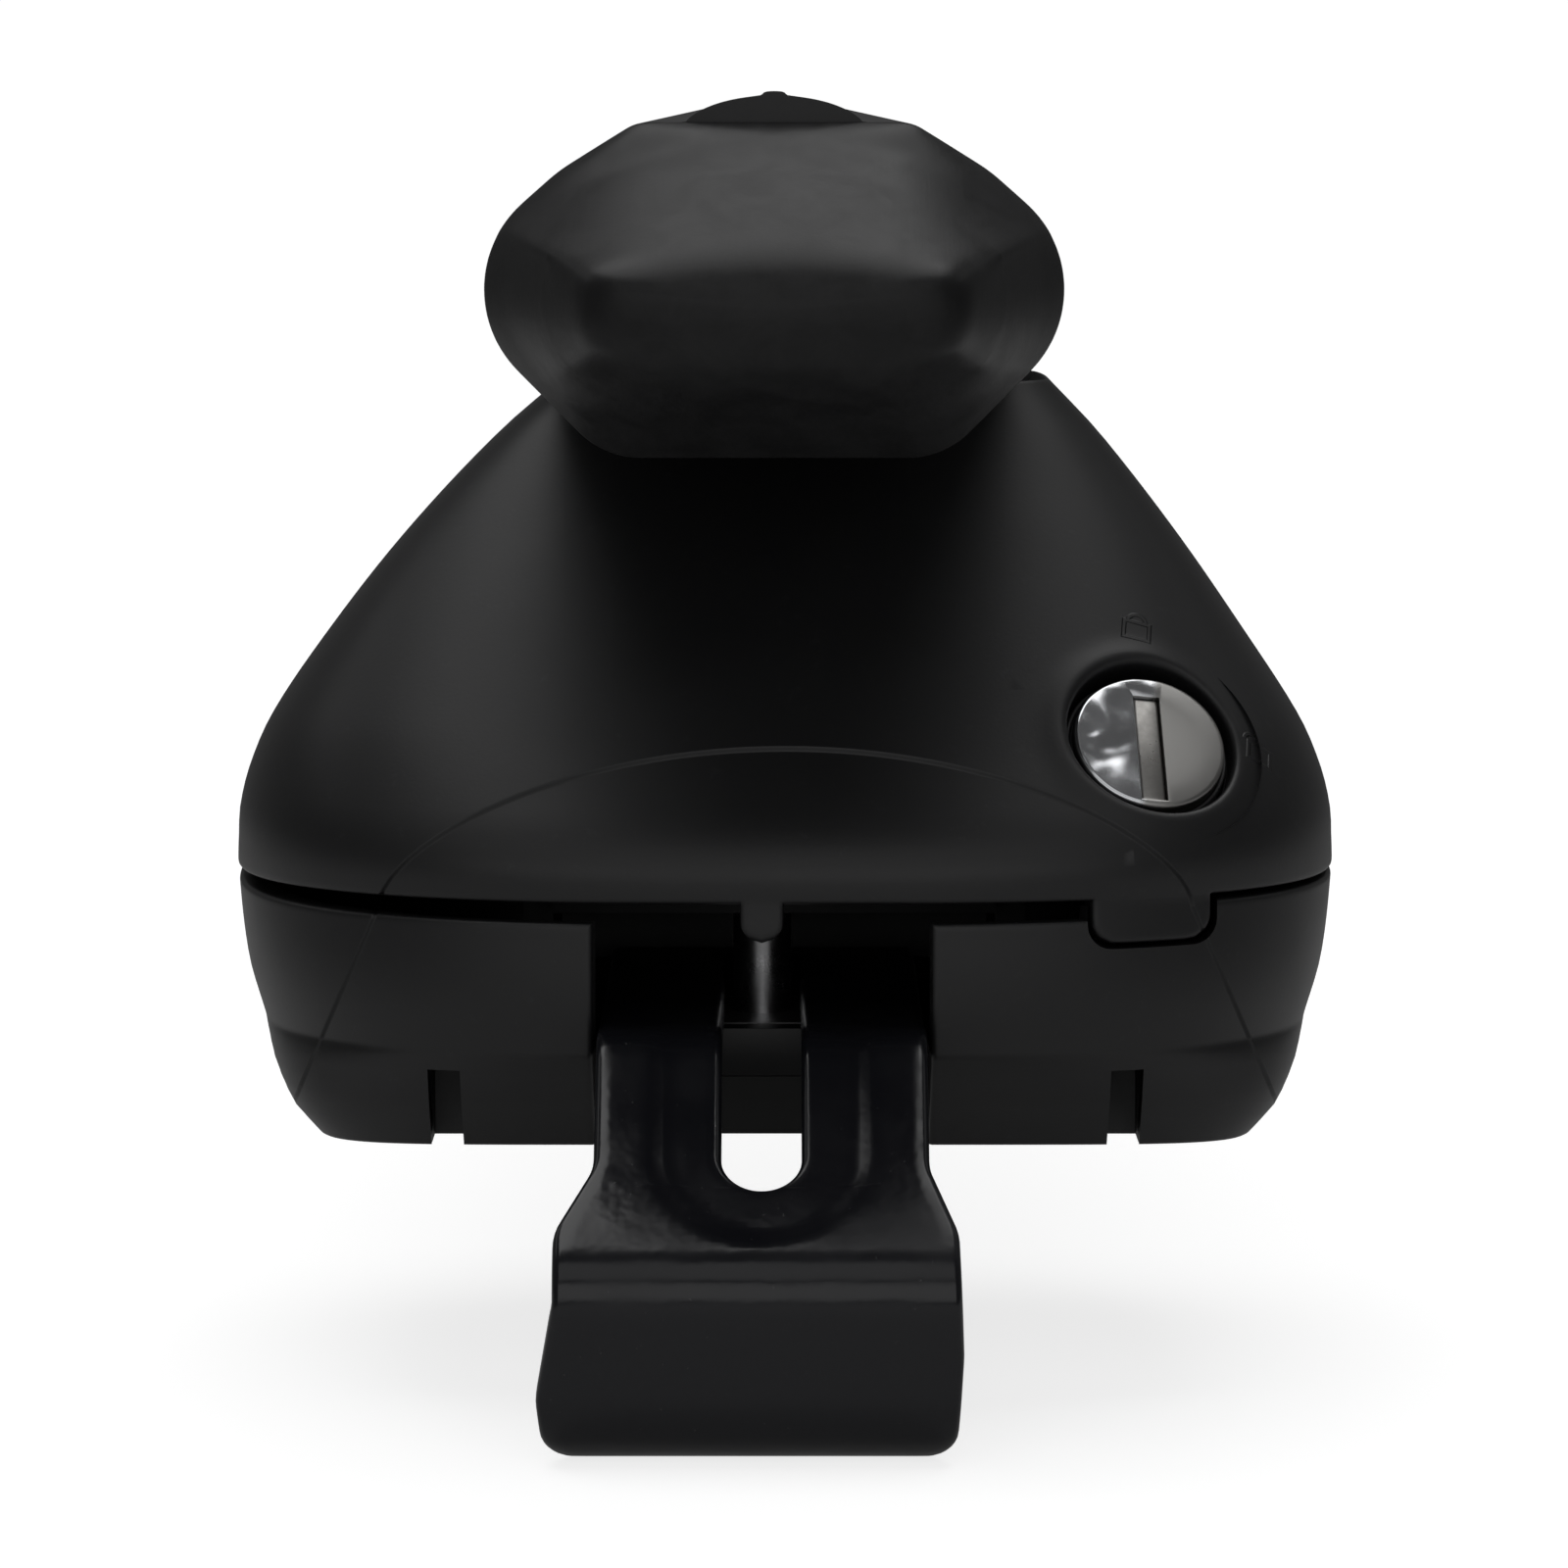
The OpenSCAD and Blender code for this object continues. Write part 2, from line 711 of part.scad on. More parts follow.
module clamp_hook() {
    color("#2b2d31")
    translate([clamp_x, 0, 0])
    difference() {
        intersection() {
            across(60) polygon(bent_strip(hook_line, hook_t, hook_bend_r));
            outwards(-30, 90) hook_view();
        }
        translate([0, -slot_from - slot_r, 0]) cylinder(r = slot_r, h = 60);
        box([-slot_r, slot_r], [slot_from + slot_r, slot_turn_out], [leg_z - 3, 60]);
        translate([0, -slot_turn_out, slot_turn_z]) rotate([slope, 0, 0]) translate([0, 0, -10])
            linear_extrude(20)
            union() {
                circle(r = slot_r);
                translate([0.01 - slot_r, 0]) square([2 * slot_r - 0.02, 9]);
            }
    }
}

// Rubber that lines the hook's heel, with a lug round one edge of the plate
module hook_pad() {
    pad_t = 2.6;
    gap = 0.06;
    inner = beside(hook_line, hook_t + gap);
    heel = inner[3];
    top = inner[2] + (inner[3] - inner[2]) * 0.25;
    color("#121213")
    translate([clamp_x, 0, 0])
    difference() {
        union() {
            across(35) polygon(bent_strip([top, heel, heel - [6.4, 0]], pad_t, 1.8));
            box([-plate_left - 0.4, -17], [heel.x - pad_t, 71], [2.6, 7.4]);
        }
        intersection() {
            across(60) polygon(bent_strip(beside(hook_line, -gap), hook_t + 2 * gap, hook_bend_r - gap));
            outwards(-30, 90) offset(delta = gap) hook_view();
        }
    }
}

module raised() {
    translate([0, 0, hook_drop]) children();
}

module left_foot() {
    raised() translate([0, -foot_at, 0]) children();
}

module right_foot() {
    rotate([0, 0, 180]) left_foot() children();
}

raised() bar();
raised() slot_strip();
raised() end_cap();  // left_end_cap
raised() rotate([0, 0, 180]) end_cap();  // right_end_cap
left_foot() base();  // left_base
left_foot() foot_pad();  // left_foot_pad
left_foot() tower();  // left_tower
left_foot() bridge_plate();  // left_bridge_plate
left_foot() bar_saddle();  // left_bar_saddle
left_foot() bar_bolts();  // left_bar_bolts
left_foot() bar_nuts();  // left_bar_nuts
left_foot() tower_screws();  // left_tower_screws
left_foot() cover();  // left_cover
left_foot() lock_barrel();  // left_lock_barrel
left_foot() barrel_nut();  // left_barrel_nut
left_foot() lock_plug();  // left_lock_plug
left_foot() key_shutter();  // left_key_shutter
left_foot() lock_cam();  // left_lock_cam
left_foot() cam_screw();  // left_cam_screw
left_foot() clamp_screw();  // left_clamp_screw
left_foot() screw_washer();  // left_screw_washer
left_foot() nut_plate();  // left_nut_plate
left_foot() clamp_hook();  // left_clamp_hook
left_foot() hook_pad();  // left_hook_pad
right_foot() base();  // right_base
right_foot() foot_pad();  // right_foot_pad
right_foot() tower();  // right_tower
right_foot() bridge_plate();  // right_bridge_plate
right_foot() bar_saddle();  // right_bar_saddle
right_foot() bar_bolts();  // right_bar_bolts
right_foot() bar_nuts();  // right_bar_nuts
right_foot() tower_screws();  // right_tower_screws
right_foot() cover();  // right_cover
right_foot() lock_barrel();  // right_lock_barrel
right_foot() barrel_nut();  // right_barrel_nut
right_foot() lock_plug();  // right_lock_plug
right_foot() key_shutter();  // right_key_shutter
right_foot() lock_cam();  // right_lock_cam
right_foot() cam_screw();  // right_cam_screw
right_foot() clamp_screw();  // right_clamp_screw
right_foot() screw_washer();  // right_screw_washer
right_foot() nut_plate();  // right_nut_plate
right_foot() clamp_hook();  // right_clamp_hook
right_foot() hook_pad();  // right_hook_pad
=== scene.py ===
# Roof rack crossbar, seen from just beyond the end of its bar
import math
from contextlib import contextmanager

import bmesh
import bpy
import numpy as np
from mathutils import Matrix, Vector
from mathutils.bvhtree import BVHTree
from mathutils.kdtree import KDTree


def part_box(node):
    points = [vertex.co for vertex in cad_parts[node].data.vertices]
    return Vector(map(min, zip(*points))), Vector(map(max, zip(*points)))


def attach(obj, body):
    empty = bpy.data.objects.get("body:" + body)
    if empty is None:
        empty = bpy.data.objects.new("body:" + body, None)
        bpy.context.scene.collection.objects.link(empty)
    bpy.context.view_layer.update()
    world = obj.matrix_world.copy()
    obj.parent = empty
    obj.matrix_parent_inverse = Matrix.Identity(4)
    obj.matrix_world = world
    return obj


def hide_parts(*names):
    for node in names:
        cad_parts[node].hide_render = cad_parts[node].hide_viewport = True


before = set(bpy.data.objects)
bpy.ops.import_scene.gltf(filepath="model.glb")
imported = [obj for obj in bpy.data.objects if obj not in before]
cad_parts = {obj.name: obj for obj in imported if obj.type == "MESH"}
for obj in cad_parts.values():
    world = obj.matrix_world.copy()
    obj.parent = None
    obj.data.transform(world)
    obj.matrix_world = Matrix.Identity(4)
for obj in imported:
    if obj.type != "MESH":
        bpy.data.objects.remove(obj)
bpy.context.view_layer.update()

mm = 0.001
sides = ["left", "right"]
print("frame loaded")


# The foot's own frame is in millimetres: the middle of the foot, a little above the ground, with -Y
# outwards to the end of the bar
bar = {
    "end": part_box("bar")[1].y / mm,
    "centreZ": 106.3,
    "halfHeight": 15.7,
    "half": [(12.9, 15.7), (20.1, 11.2), (32.1, 0.6), (15.9, -15.7)],
    "halfRadii": [4, 14, 10.8, 8],
}
bar["corners"] = bar["half"] + [(-x, z) for x, z in bar["half"][::-1]]
bar["radii"] = bar["halfRadii"] + bar["halfRadii"][::-1]
footAt = bar["end"] - 60
hookDrop = 3.6


def footMatrix(side):
    turned = Matrix.Rotation(math.pi if side == "right" else 0, 4, "Z")
    return turned @ Matrix.Translation((0, -footAt * mm, hookDrop * mm)) @ Matrix.Scale(mm, 4)


# Mesh helpers
def linked(name, data):
    obj = bpy.data.objects.new(name, data)
    bpy.context.scene.collection.objects.link(obj)
    return obj


def meshObject(name, verts, faces):
    mesh = bpy.data.meshes.new(name)
    mesh.from_pydata([tuple(v) for v in verts], [], [tuple(f) for f in faces])
    mesh.validate()
    return linked(name, mesh)


@contextmanager
def edited(obj):
    # the object's mesh, open for changes
    work = bmesh.new()
    work.from_mesh(obj.data)
    yield work
    work.to_mesh(obj.data)
    work.free()


def turnOutward(obj):
    with edited(obj) as work:
        bmesh.ops.recalc_face_normals(work, faces=work.faces)
    return obj


def applied(obj):
    # the object with its modifiers made part of its mesh
    depsgraph = bpy.context.evaluated_depsgraph_get()
    mesh = bpy.data.meshes.new_from_object(obj.evaluated_get(depsgraph))
    obj.modifiers.clear()
    obj.data = mesh
    return obj


def smoothed(obj, sharpAngle):
    with edited(obj) as work:
        for face in work.faces:
            face.smooth = True
        for edge in work.edges:
            edge.smooth = len(edge.link_faces) == 2 and edge.calc_face_angle(0) < math.radians(sharpAngle)
    return obj


def bevelled(obj, width, segments=2, angle=40):
    step = obj.modifiers.new("bevel", "BEVEL")
    step.width = width
    step.segments = segments
    step.limit_method = "ANGLE"
    step.angle_limit = math.radians(angle)
    return applied(obj)


def cut(obj, *cutters):
    for cutter in cutters:
        turnOutward(cutter)
        step = obj.modifiers.new("cut", "BOOLEAN")
        step.operation = "DIFFERENCE"
        step.object = cutter
        step.solver = "EXACT"
    applied(obj)
    for cutter in cutters:
        bpy.data.objects.remove(cutter)
    return obj


def joined(obj, *others):
    # all of them in one mesh, each still a closed solid of its own
    with edited(obj) as work:
        for other in others:
            work.from_mesh(other.data)
            bpy.data.objects.remove(other)
    return obj


def prism(name, outline, low, high, place=None):
    # a drawing in X and Y, run up from low to high
    count = len(outline)
    verts = [(x, y, z) for z in (low, high) for x, y in outline]
    faces = [list(range(count))[::-1], [count + i for i in range(count)]]
    faces += [[i, (i + 1) % count, count + (i + 1) % count, count + i] for i in range(count)]
    obj = meshObject(name, verts, faces)
    if place:
        obj.data.transform(place)
    return turnOutward(obj)


def block(name, x, out, z, bevel=0.0):
    outline = [(x[0], -out[1]), (x[1], -out[1]), (x[1], -out[0]), (x[0], -out[0])]
    obj = prism(name, outline, z[0], z[1])
    return bevelled(obj, bevel) if bevel else obj


def bandFaces(rows, around):
    # faces between closed rings of points, each ring numbered on from the one before
    faces = []
    for base in range(0, (rows - 1) * around, around):
        for i in range(around):
            a, b = base + i, base + (i + 1) % around
            faces.append([a, b, b + around, a + around])
    return faces


def turned(name, profile, steps=96, place=None):
    # a profile of (radius, height) points turned about Z
    verts = []
    for radius, height in profile:
        for i in range(steps):
            a = 2 * math.pi * i / steps
            verts.append((radius * math.cos(a), radius * math.sin(a), height))
    faces = bandFaces(len(profile), steps)
    faces += [list(range(steps))[::-1], list(range(len(verts) - steps, len(verts)))]
    obj = meshObject(name, verts, faces)
    with edited(obj) as work:
        bmesh.ops.remove_doubles(work, verts=work.verts, dist=0.0005)
    if place:
        obj.data.transform(place)
    return turnOutward(obj)


def cornerArc(a, b, c, radius, steps=None, step=None):
    # the corner at b as an arc, in a number of steps or in steps of a given length
    a, b, c = Vector(a), Vector(b), Vector(c)
    toA, toC = (a - b).normalized(), (c - b).normalized()
    half = toA.angle(toC) / 2
    centre = b + (toA + toC).normalized() * radius / math.sin(half)
    first, last = (b + to * radius / math.tan(half) - centre for to in (toA, toC))
    start = math.atan2(first.y, first.x)
    turn = (math.atan2(last.y, last.x) - start + math.pi) % (2 * math.pi) - math.pi
    steps = steps or max(4, int(abs(turn) * radius / step))
    angles = [start + turn * k / steps for k in range(steps + 1)]
    return [centre + radius * Vector((math.cos(angle), math.sin(angle))) for angle in angles]


def roundedOutline(points, radii, steps=8):
    out = []
    for i, b in enumerate(points):
        after = points[(i + 1) % len(points)]
        out += cornerArc(points[i - 1], b, after, radii[i], steps) if radii[i] > 0 else [Vector(b)]
    return out


def grown(points, gap):
    # a convex outline's corners moved out by gap from every edge
    out = []
    count = len(points)
    for i in range(count):
        b = Vector(points[i])
        toA = (Vector(points[i - 1]) - b).normalized()
        toC = (Vector(points[(i + 1) % count]) - b).normalized()
        out.append(b - (toA + toC).normalized() * gap / math.sin(toA.angle(toC) / 2))
    return out


def barOutline(gap=0, steps=10):
    return roundedOutline(grown(bar["corners"], gap), [r + gap for r in bar["radii"]], steps)


# turns a drawing in X and Y into one in X and Z that runs outwards, along -Y
upright = Matrix.Rotation(math.pi / 2, 4, "X")


class Sheet:
    # points and faces of an open surface, which shell() gives a thickness
    def __init__(self):
        self.points, self.faces = [], []

    def grid(self, rows):
        # rows of points, all of one length
        rows = np.asarray(rows, float)
        base = len(self.points)
        high, wide = rows.shape[:2]
        self.points += [Vector(p) for p in rows.reshape(-1, 3)]
        for k in range(high - 1):
            for i in range(wide - 1):
                a = base + k * wide + i
                self.faces.append([a, a + 1, a + wide + 1, a + wide])

    def ring(self, points):
        base = len(self.points)
        self.points += [Vector(p) for p in points]
        return list(range(base, base + len(points)))

    def weld(self, distance=0.02):
        work = bmesh.new()
        verts = [work.verts.new(p) for p in self.points]
        for face in self.faces:
            if len(set(face)) == len(face):
                work.faces.new([verts[i] for i in face])
        bmesh.ops.remove_doubles(work, verts=work.verts, dist=distance)
        loose = [v for v in work.verts if not v.link_faces]
        bmesh.ops.delete(work, geom=loose, context="VERTS")
        work.verts.index_update()
        self.points = [v.co.copy() for v in work.verts]
        self.faces = [[v.index for v in f.verts] for f in work.faces]
        work.free()

    def normals(self):
        out = [Vector() for _ in self.points]
        for face in self.faces:
            p = [self.points[i] for i in face]
            n = (p[2] - p[0]).cross(p[3] - p[1]) if len(p) == 4 else (p[1] - p[0]).cross(p[2] - p[0])
            for i in face:
                out[i] += n
        return [n.normalized() for n in out]

    def rim(self):
        seen = {}
        for face in self.faces:
            for i, a in enumerate(face):
                b = face[(i + 1) % len(face)]
                seen.setdefault((min(a, b), max(a, b)), []).append((a, b))
        return [pairs[0] for pairs in seen.values() if len(pairs) == 1]

    def shell(self, name, thickness, edge):
        # a closed solid: this surface, the same one moved in, and walls between their rims, with round edges
        normals, rim, samples = self.normals(), self.rim(), []
        for a, b in rim:
            count = max(1, int((self.points[b] - self.points[a]).length / (edge * 0.15)))
            samples += [self.points[a].lerp(self.points[b], k / count) for k in range(count + 1)]
        tree = KDTree(len(samples))
        for i, p in enumerate(samples):
            tree.insert(p, i)
        tree.balance()
        count = len(self.points)
        outer, inner = [], []
        for p, n in zip(self.points, normals):
            near = min(tree.find(p)[2], edge)
            drop = edge - math.sqrt(max(0, edge ** 2 - (edge - near) ** 2))
            outer.append(p - n * drop)
            inner.append(p - n * (thickness - drop))
        faces = list(self.faces) + [[i + count for i in face[::-1]] for face in self.faces]
        faces += [[b, a, a + count, b + count] for a, b in rim]
        return meshObject(name, outer + inner, faces)


# Rows of points lie close together within this distance of an edge that gets rounded
edgeBand = 0.9
nearEdge = [0, 0.05, 0.16, 0.32, 0.52, 0.85]

# Foot: the rows of its form give height, half width, reach of the front and reach of the rear
foot = {
    "x": 1.1,
    "mid": 5,
    "under": [(21.3, 46.6, 36, 30), (24.5, 49.6, 39.6, 32.5), (28.5, 51.9, 44.6, 34.2), (32, 53, 49.2, 35)],
    "rows": [
        (32, 53, 49.2, 35), (38, 54.7, 50.1, 36), (47, 55.7, 49.8, 36.2), (50, 55.6, 49.8, 36),
        (53, 55.4, 48.4, 35.7), (57, 54.4, 45.2, 35.2), (62, 52.2, 41, 34.5), (70, 46.9, 34.6, 33),
        (80, 39.5, 26.6, 30), (90, 30.9, 18.6, 26.6), (96, 24.6, 14, 24),
    ],
    "lean": (62, 0.0018),
    "square": [(21.3, 8), (28.5, 3.9), (32, 2.9), (47, 2.8), (62, 3.4), (96, 4)],
    "rearSquare": 4,
    "top": 96,
    "wall": 3,
    "ledge": 32,
    "coverZ": 47,
    "split": 8,
    "play": 0.4,
    "tab": (30.8, 42.7, 42.8),
    "tabPlay": 0.5,
    "tabRound": 2.4,
    "edgeGap": (0.3, 1.4),
    "tongue": (-3.3, 0.9, 43.3),
    "opening": (-17.6, 15.2),
    "openingFrom": 24,
    "notches": (34.4, -32.2),
    "notchTop": 30.1,
    "notchHalf": 1.6,
    "window": ((-13.7, 11.3), (-0.5, 20.5)),
    "pad": [(-38.05, -25.15), (40.25, -25.15), (40.25, 23.95), (-38.05, 23.95)],
    "padTop": 26.6,
}


def fromTable(rows, z, i=1):
    return float(np.interp(z, [r[0] for r in rows], [r[i] for r in rows]))


def column(z, i):
    # one of the form's sizes at height z, on a smooth curve through the rows
    rows = foot["rows"]
    if z < rows[0][0]:
        return fromTable(foot["under"], z, i)
    k = max(j for j in range(len(rows) - 1) if z >= rows[j][0] or j == 0)

    def slope(j):
        low, high = max(j - 1, 0), min(j + 1, len(rows) - 1)
        return (rows[high][i] - rows[low][i]) / (rows[high][0] - rows[low][0])

    h = rows[k + 1][0] - rows[k][0]
    t = (z - rows[k][0]) / h
    return (
        (2 * t ** 3 - 3 * t ** 2 + 1) * rows[k][i] + (t ** 3 - 2 * t ** 2 + t) * slope(k) * h
        + (3 * t ** 2 - 2 * t ** 3) * rows[k + 1][i] + (t ** 3 - t ** 2) * slope(k + 1) * h
    )


formCache = {}


def formSizes(z):
    key = round(z, 4)
    if key not in formCache:
        front, rear = column(z, 2) - foot["mid"], column(z, 3) + foot["mid"]
        formCache[key] = (column(z, 1), front, rear, fromTable(foot["square"], z))
    return formCache[key]


def middleX(z):
    start, rate = foot["lean"]
    return foot["x"] + rate * max(0, z - start) ** 2


def formPoint(z, a, inset=0):
    # the form's outline at height z, in the direction a from its middle, with a = 90 degrees outwards
    half, front, rear, square = formSizes(z)
    c, s = np.cos(a), np.sin(a)
    power = np.where(s >= 0, square, foot["rearSquare"])
    reach = np.where(s >= 0, front, rear)
    r = (np.abs(c) ** power + np.abs(s) ** power) ** (-1 / power)
    return middleX(z) + (half - inset) * r * c, -foot["mid"] - (reach - inset) * r * s


def formAt(z, levels, angles):
    # the form's point at height z, in a column with these directions at these levels
    x, y = formPoint(z, float(np.interp(z, levels, angles)))
    return float(x), float(y), z


def angleAtX(z, x):
    half, front, rear, square = formSizes(z)
    c = max(-0.999, min(0.999, (x - middleX(z)) / half))
    return math.atan2((1 - abs(c) ** square) ** (1 / square), c)


def angleAtSplit(z, y, side):
    half, front, rear, square = formSizes(z)
    d = (y + foot["mid"]) / rear
    return math.atan2(-d, side * (1 - d ** 4) ** 0.25)


def spaced(length, step, start, end):
    # distances along a line, close together near an end that has a rounded edge
    first = nearEdge if start else [0]
    last = [length - d for d in (nearEdge if end else [0])][::-1]
    count = max(1, round((last[0] - first[-1]) / step))
    middle = [first[-1] + (last[0] - first[-1]) * k / count for k in range(1, count)]
    return first + middle + last


def stretched(d, reference, length, start, end):
    # a distance taken over to a line of another length, the same as it was near an end with a rounded edge
    first, last = edgeBand * start, edgeBand * end
    if start and d <= first:
        return d
    if end and reference - d <= last:
        return length - (reference - d)
    return first + (d - first) * (length - first - last) / (reference - first - last)


def columnAngles(z, edges, distances, reference):
    # the direction of every column at height z, from one edge line to the next
    out = []
    for k in range(len(edges) - 1):
        a, b = edges[k](z), edges[k + 1](z)
        fine = np.linspace(a, b, 120)
        x, y = formPoint(z, fine)
        run = np.concatenate([[0], np.cumsum(np.hypot(np.diff(x), np.diff(y)))])
        wanted = [stretched(d, reference[k], run[-1], True, True) for d in distances[k]]
        out += list(np.interp(wanted, run, fine))[(1 if k else 0):]
    return np.array(out)


def lineLength(z, a, b):
    x, y = formPoint(z, np.linspace(a, b, 120))
    return float(np.sum(np.hypot(np.diff(x), np.diff(y))))


def wrapped(angle):
    return angle + 2 * math.pi if angle < -0.6 else angle


def edgeAtX(x, turns=0):
    def at(z):
        scale = column(z, 1) / column(50, 1) if z > 50 else 1
        return angleAtX(z, middleX(z) + (x - foot["x"]) * scale) + 2 * math.pi * turns
    return at


def edgeAtSplit(y, side, turns=0):
    def at(z):
        return wrapped(angleAtSplit(z, y, side)) + 2 * math.pi * turns
    return at


def insideOutline(outline, x, z):
    for i in range(len(outline)):
        a, b = outline[i - 1], outline[i]
        if (b[0] - a[0]) * (z - a[1]) - (b[1] - a[1]) * (x - a[0]) > 0:
            return False
    return True


def topAt(angles, hole):
    # height at which a column of the form meets the hole for the bar
    z, step = upperFrom, 0.2
    while z < foot["top"]:
        if insideOutline(hole, formAt(z, topLevels, angles)[0], z):
            low, high = z - step, z
            for _ in range(12):
                mid = (low + high) / 2
                inside = insideOutline(hole, formAt(mid, topLevels, angles)[0], mid)
                low, high = (low, mid) if inside else (mid, high)
            return low
        z += step
    return float(foot["top"])


def upperRows(angleTable, hole, step):
    # rows from a level height up to the bar, or to the top of the form beside it
    columns = [(angles, topAt(angles, hole)) for angles in angleTable.T]
    run = 8
    rows = []
    for d in spaced(run, step, False, True):
        heights = [upperFrom + stretched(d, run, top - upperFrom, False, True) for _, top in columns]
        rows.append([formAt(z, topLevels, angles) for z, (angles, _) in zip(heights, columns)])
    return rows


def levelRows(heights, edges, distances, reference):
    rows = []
    for z in heights:
        x, y = formPoint(z, columnAngles(z, edges, distances, reference))
        rows.append(np.stack([x, y, np.full(len(x), z)], axis=1))
    return rows


upperFrom = 84.0
topLevels = np.arange(82, 96.5, 0.5)
holeOutline = [(p.x, p.y + bar["centreZ"]) for p in barOutline(0.4, 6)]
fine = 1.1


# Lock: place of its face, and its own frame with Z outwards and Y along the key slot
lock = {
    "at": Vector((36.8, -37, 61.6)),
    "tilt": 51,
    "turn": 16,
    "spin": -7.7,
    "radius": 7.65,
    "slot": (1.35, -6.85, 5.3),
    "barrel": 8.2,
    "recess": 8.6,
    "recessShift": (0.2, 0.3),
    "lip": [
        (13.0, 0.0), (12.6, 0.0), (12.1, 0.01), (11.5, 0.04), (10.9, 0.1), (10.3, 0.19), (9.8, 0.26),
        (9.4, 0.27), (9.1, 0.2), (8.9, 0.08), (8.76, -0.08), (8.66, -0.3), (8.6, -0.6), (8.6, -1.4),
    ],
    "wall": (-4.5, -8.5),
    "signs": [(-0.5, 13.6, 8, False), (11.9, 1.9, 8, True)],
    "signScale": 0.8,
}
lockFrame = Matrix.Translation(lock["at"])
for angle, axis in (("turn", "Z"), ("tilt", "X"), ("spin", "Z")):
    lockFrame = lockFrame @ Matrix.Rotation(math.radians(lock[angle]), 4, axis)


def beyondForm(p):
    # below zero inside the form and above it outside
    half, front, rear, square = formSizes(p.z)
    x, y = abs((p.x - middleX(p.z)) / half), abs((p.y + foot["mid"]) / front)
    return (x ** square + y ** square) ** (1 / square) - 1


def lockRecess(sheet):
    # swaps the cells round the lock for rings that roll over a soft lip and down into the recess
    tree = BVHTree.FromPolygons(sheet.points, sheet.faces)
    back = lockFrame.inverted()
    axis = lockFrame.to_3x3() @ Vector((0, 0, 1))
    widest, count, fullTurn = lock["lip"][0][0], 120, 2 * math.pi
    local = [back @ p for p in sheet.points]
    reach = [math.hypot(p.x, p.y) for p in local]
    oldRim = set(i for pair in sheet.rim() for i in pair)
    sheet.faces = [f for f in sheet.faces if min(reach[i] for i in f) > widest + 0.2]
    following = {a: b for a, b in sheet.rim() if a not in oldRim and b not in oldRim}
    loop = [next(iter(following))]
    while following[loop[-1]] != loop[0]:
        loop.append(following[loop[-1]])

    def surfaceHeight(x, y):
        low = (back @ tree.ray_cast(lockFrame @ Vector((x, y, 30)), -axis)[0]).z
        high = low + 0.1
        for _ in range(4):
            a, b = (beyondForm(lockFrame @ Vector((x, y, z))) for z in (low, high))
            if abs(b - a) < 1e-9:
                break
            low, high = high, high - b * (high - low) / (b - a)
        return high

    def ringPoints(radius, heightAt):
        shift = (widest - radius) / (widest - lock["recess"])
        points = []
        for i in range(count):
            a = fullTurn * i / count
            x = radius * math.cos(a) + lock["recessShift"][0] * shift
            y = radius * math.sin(a) + lock["recessShift"][1] * shift
            points.append(lockFrame @ Vector((x, y, heightAt(x, y))))
        return sheet.ring(points)

    rings = [ringPoints(radius, lambda x, y: surfaceHeight(x, y) + lift) for radius, lift in lock["lip"]]
    rings += [ringPoints(lock["recess"], lambda x, y: depth) for depth in lock["wall"]]

    def wind(face):
        p = [sheet.points[i] for i in face]
        return face if (p[1] - p[0]).cross(p[2] - p[0]).dot(axis) > 0 else face[::-1]

    angleOf = {i: math.atan2(local[i].y, local[i].x) % fullTurn for i in loop}
    turnsUp = [(angleOf[b] - angleOf[a]) % fullTurn < math.pi for a, b in zip(loop, loop[1:] + loop[:1])]
    if sum(turnsUp) * 2 < len(loop):
        loop = loop[::-1]
    first = min(range(len(loop)), key=lambda k: angleOf[loop[k]])
    loop = loop[first:] + loop[:first]
    outerAngles = [angleOf[i] for i in loop] + [angleOf[loop[0]] + fullTurn]
    innerAngles = [fullTurn * i / count for i in range(count + 1)]
    i = j = 0
    inner = rings[0]
    while i < len(loop) or j < count:
        if j >= count or (i < len(loop) and outerAngles[i + 1] < innerAngles[j + 1]):
            face = [loop[i], loop[(i + 1) % len(loop)], inner[j % count]]
            i += 1
        else:
            face = [loop[i % len(loop)], inner[(j + 1) % count], inner[j]]
            j += 1
        sheet.faces.append(wind(face))
    sample = [rings[0][0], rings[0][1], rings[1][1], rings[1][0]]
    same = wind(sample) == sample
    for k in range(len(rings) - 1):
        for i in range(count):
            j = (i + 1) % count
            face = [rings[k][i], rings[k][j], rings[k + 1][j], rings[k + 1][i]]
            sheet.faces.append(face if same else face[::-1])


def outwardSheet(sheet, centre):
    total = 0
    for face in sheet.faces[::7]:
        p = [sheet.points[i] for i in face]
        total += (p[1] - p[0]).cross(p[2] - p[0]).dot(p[0] - Vector(centre))
    if total < 0:
        sheet.faces = [f[::-1] for f in sheet.faces]


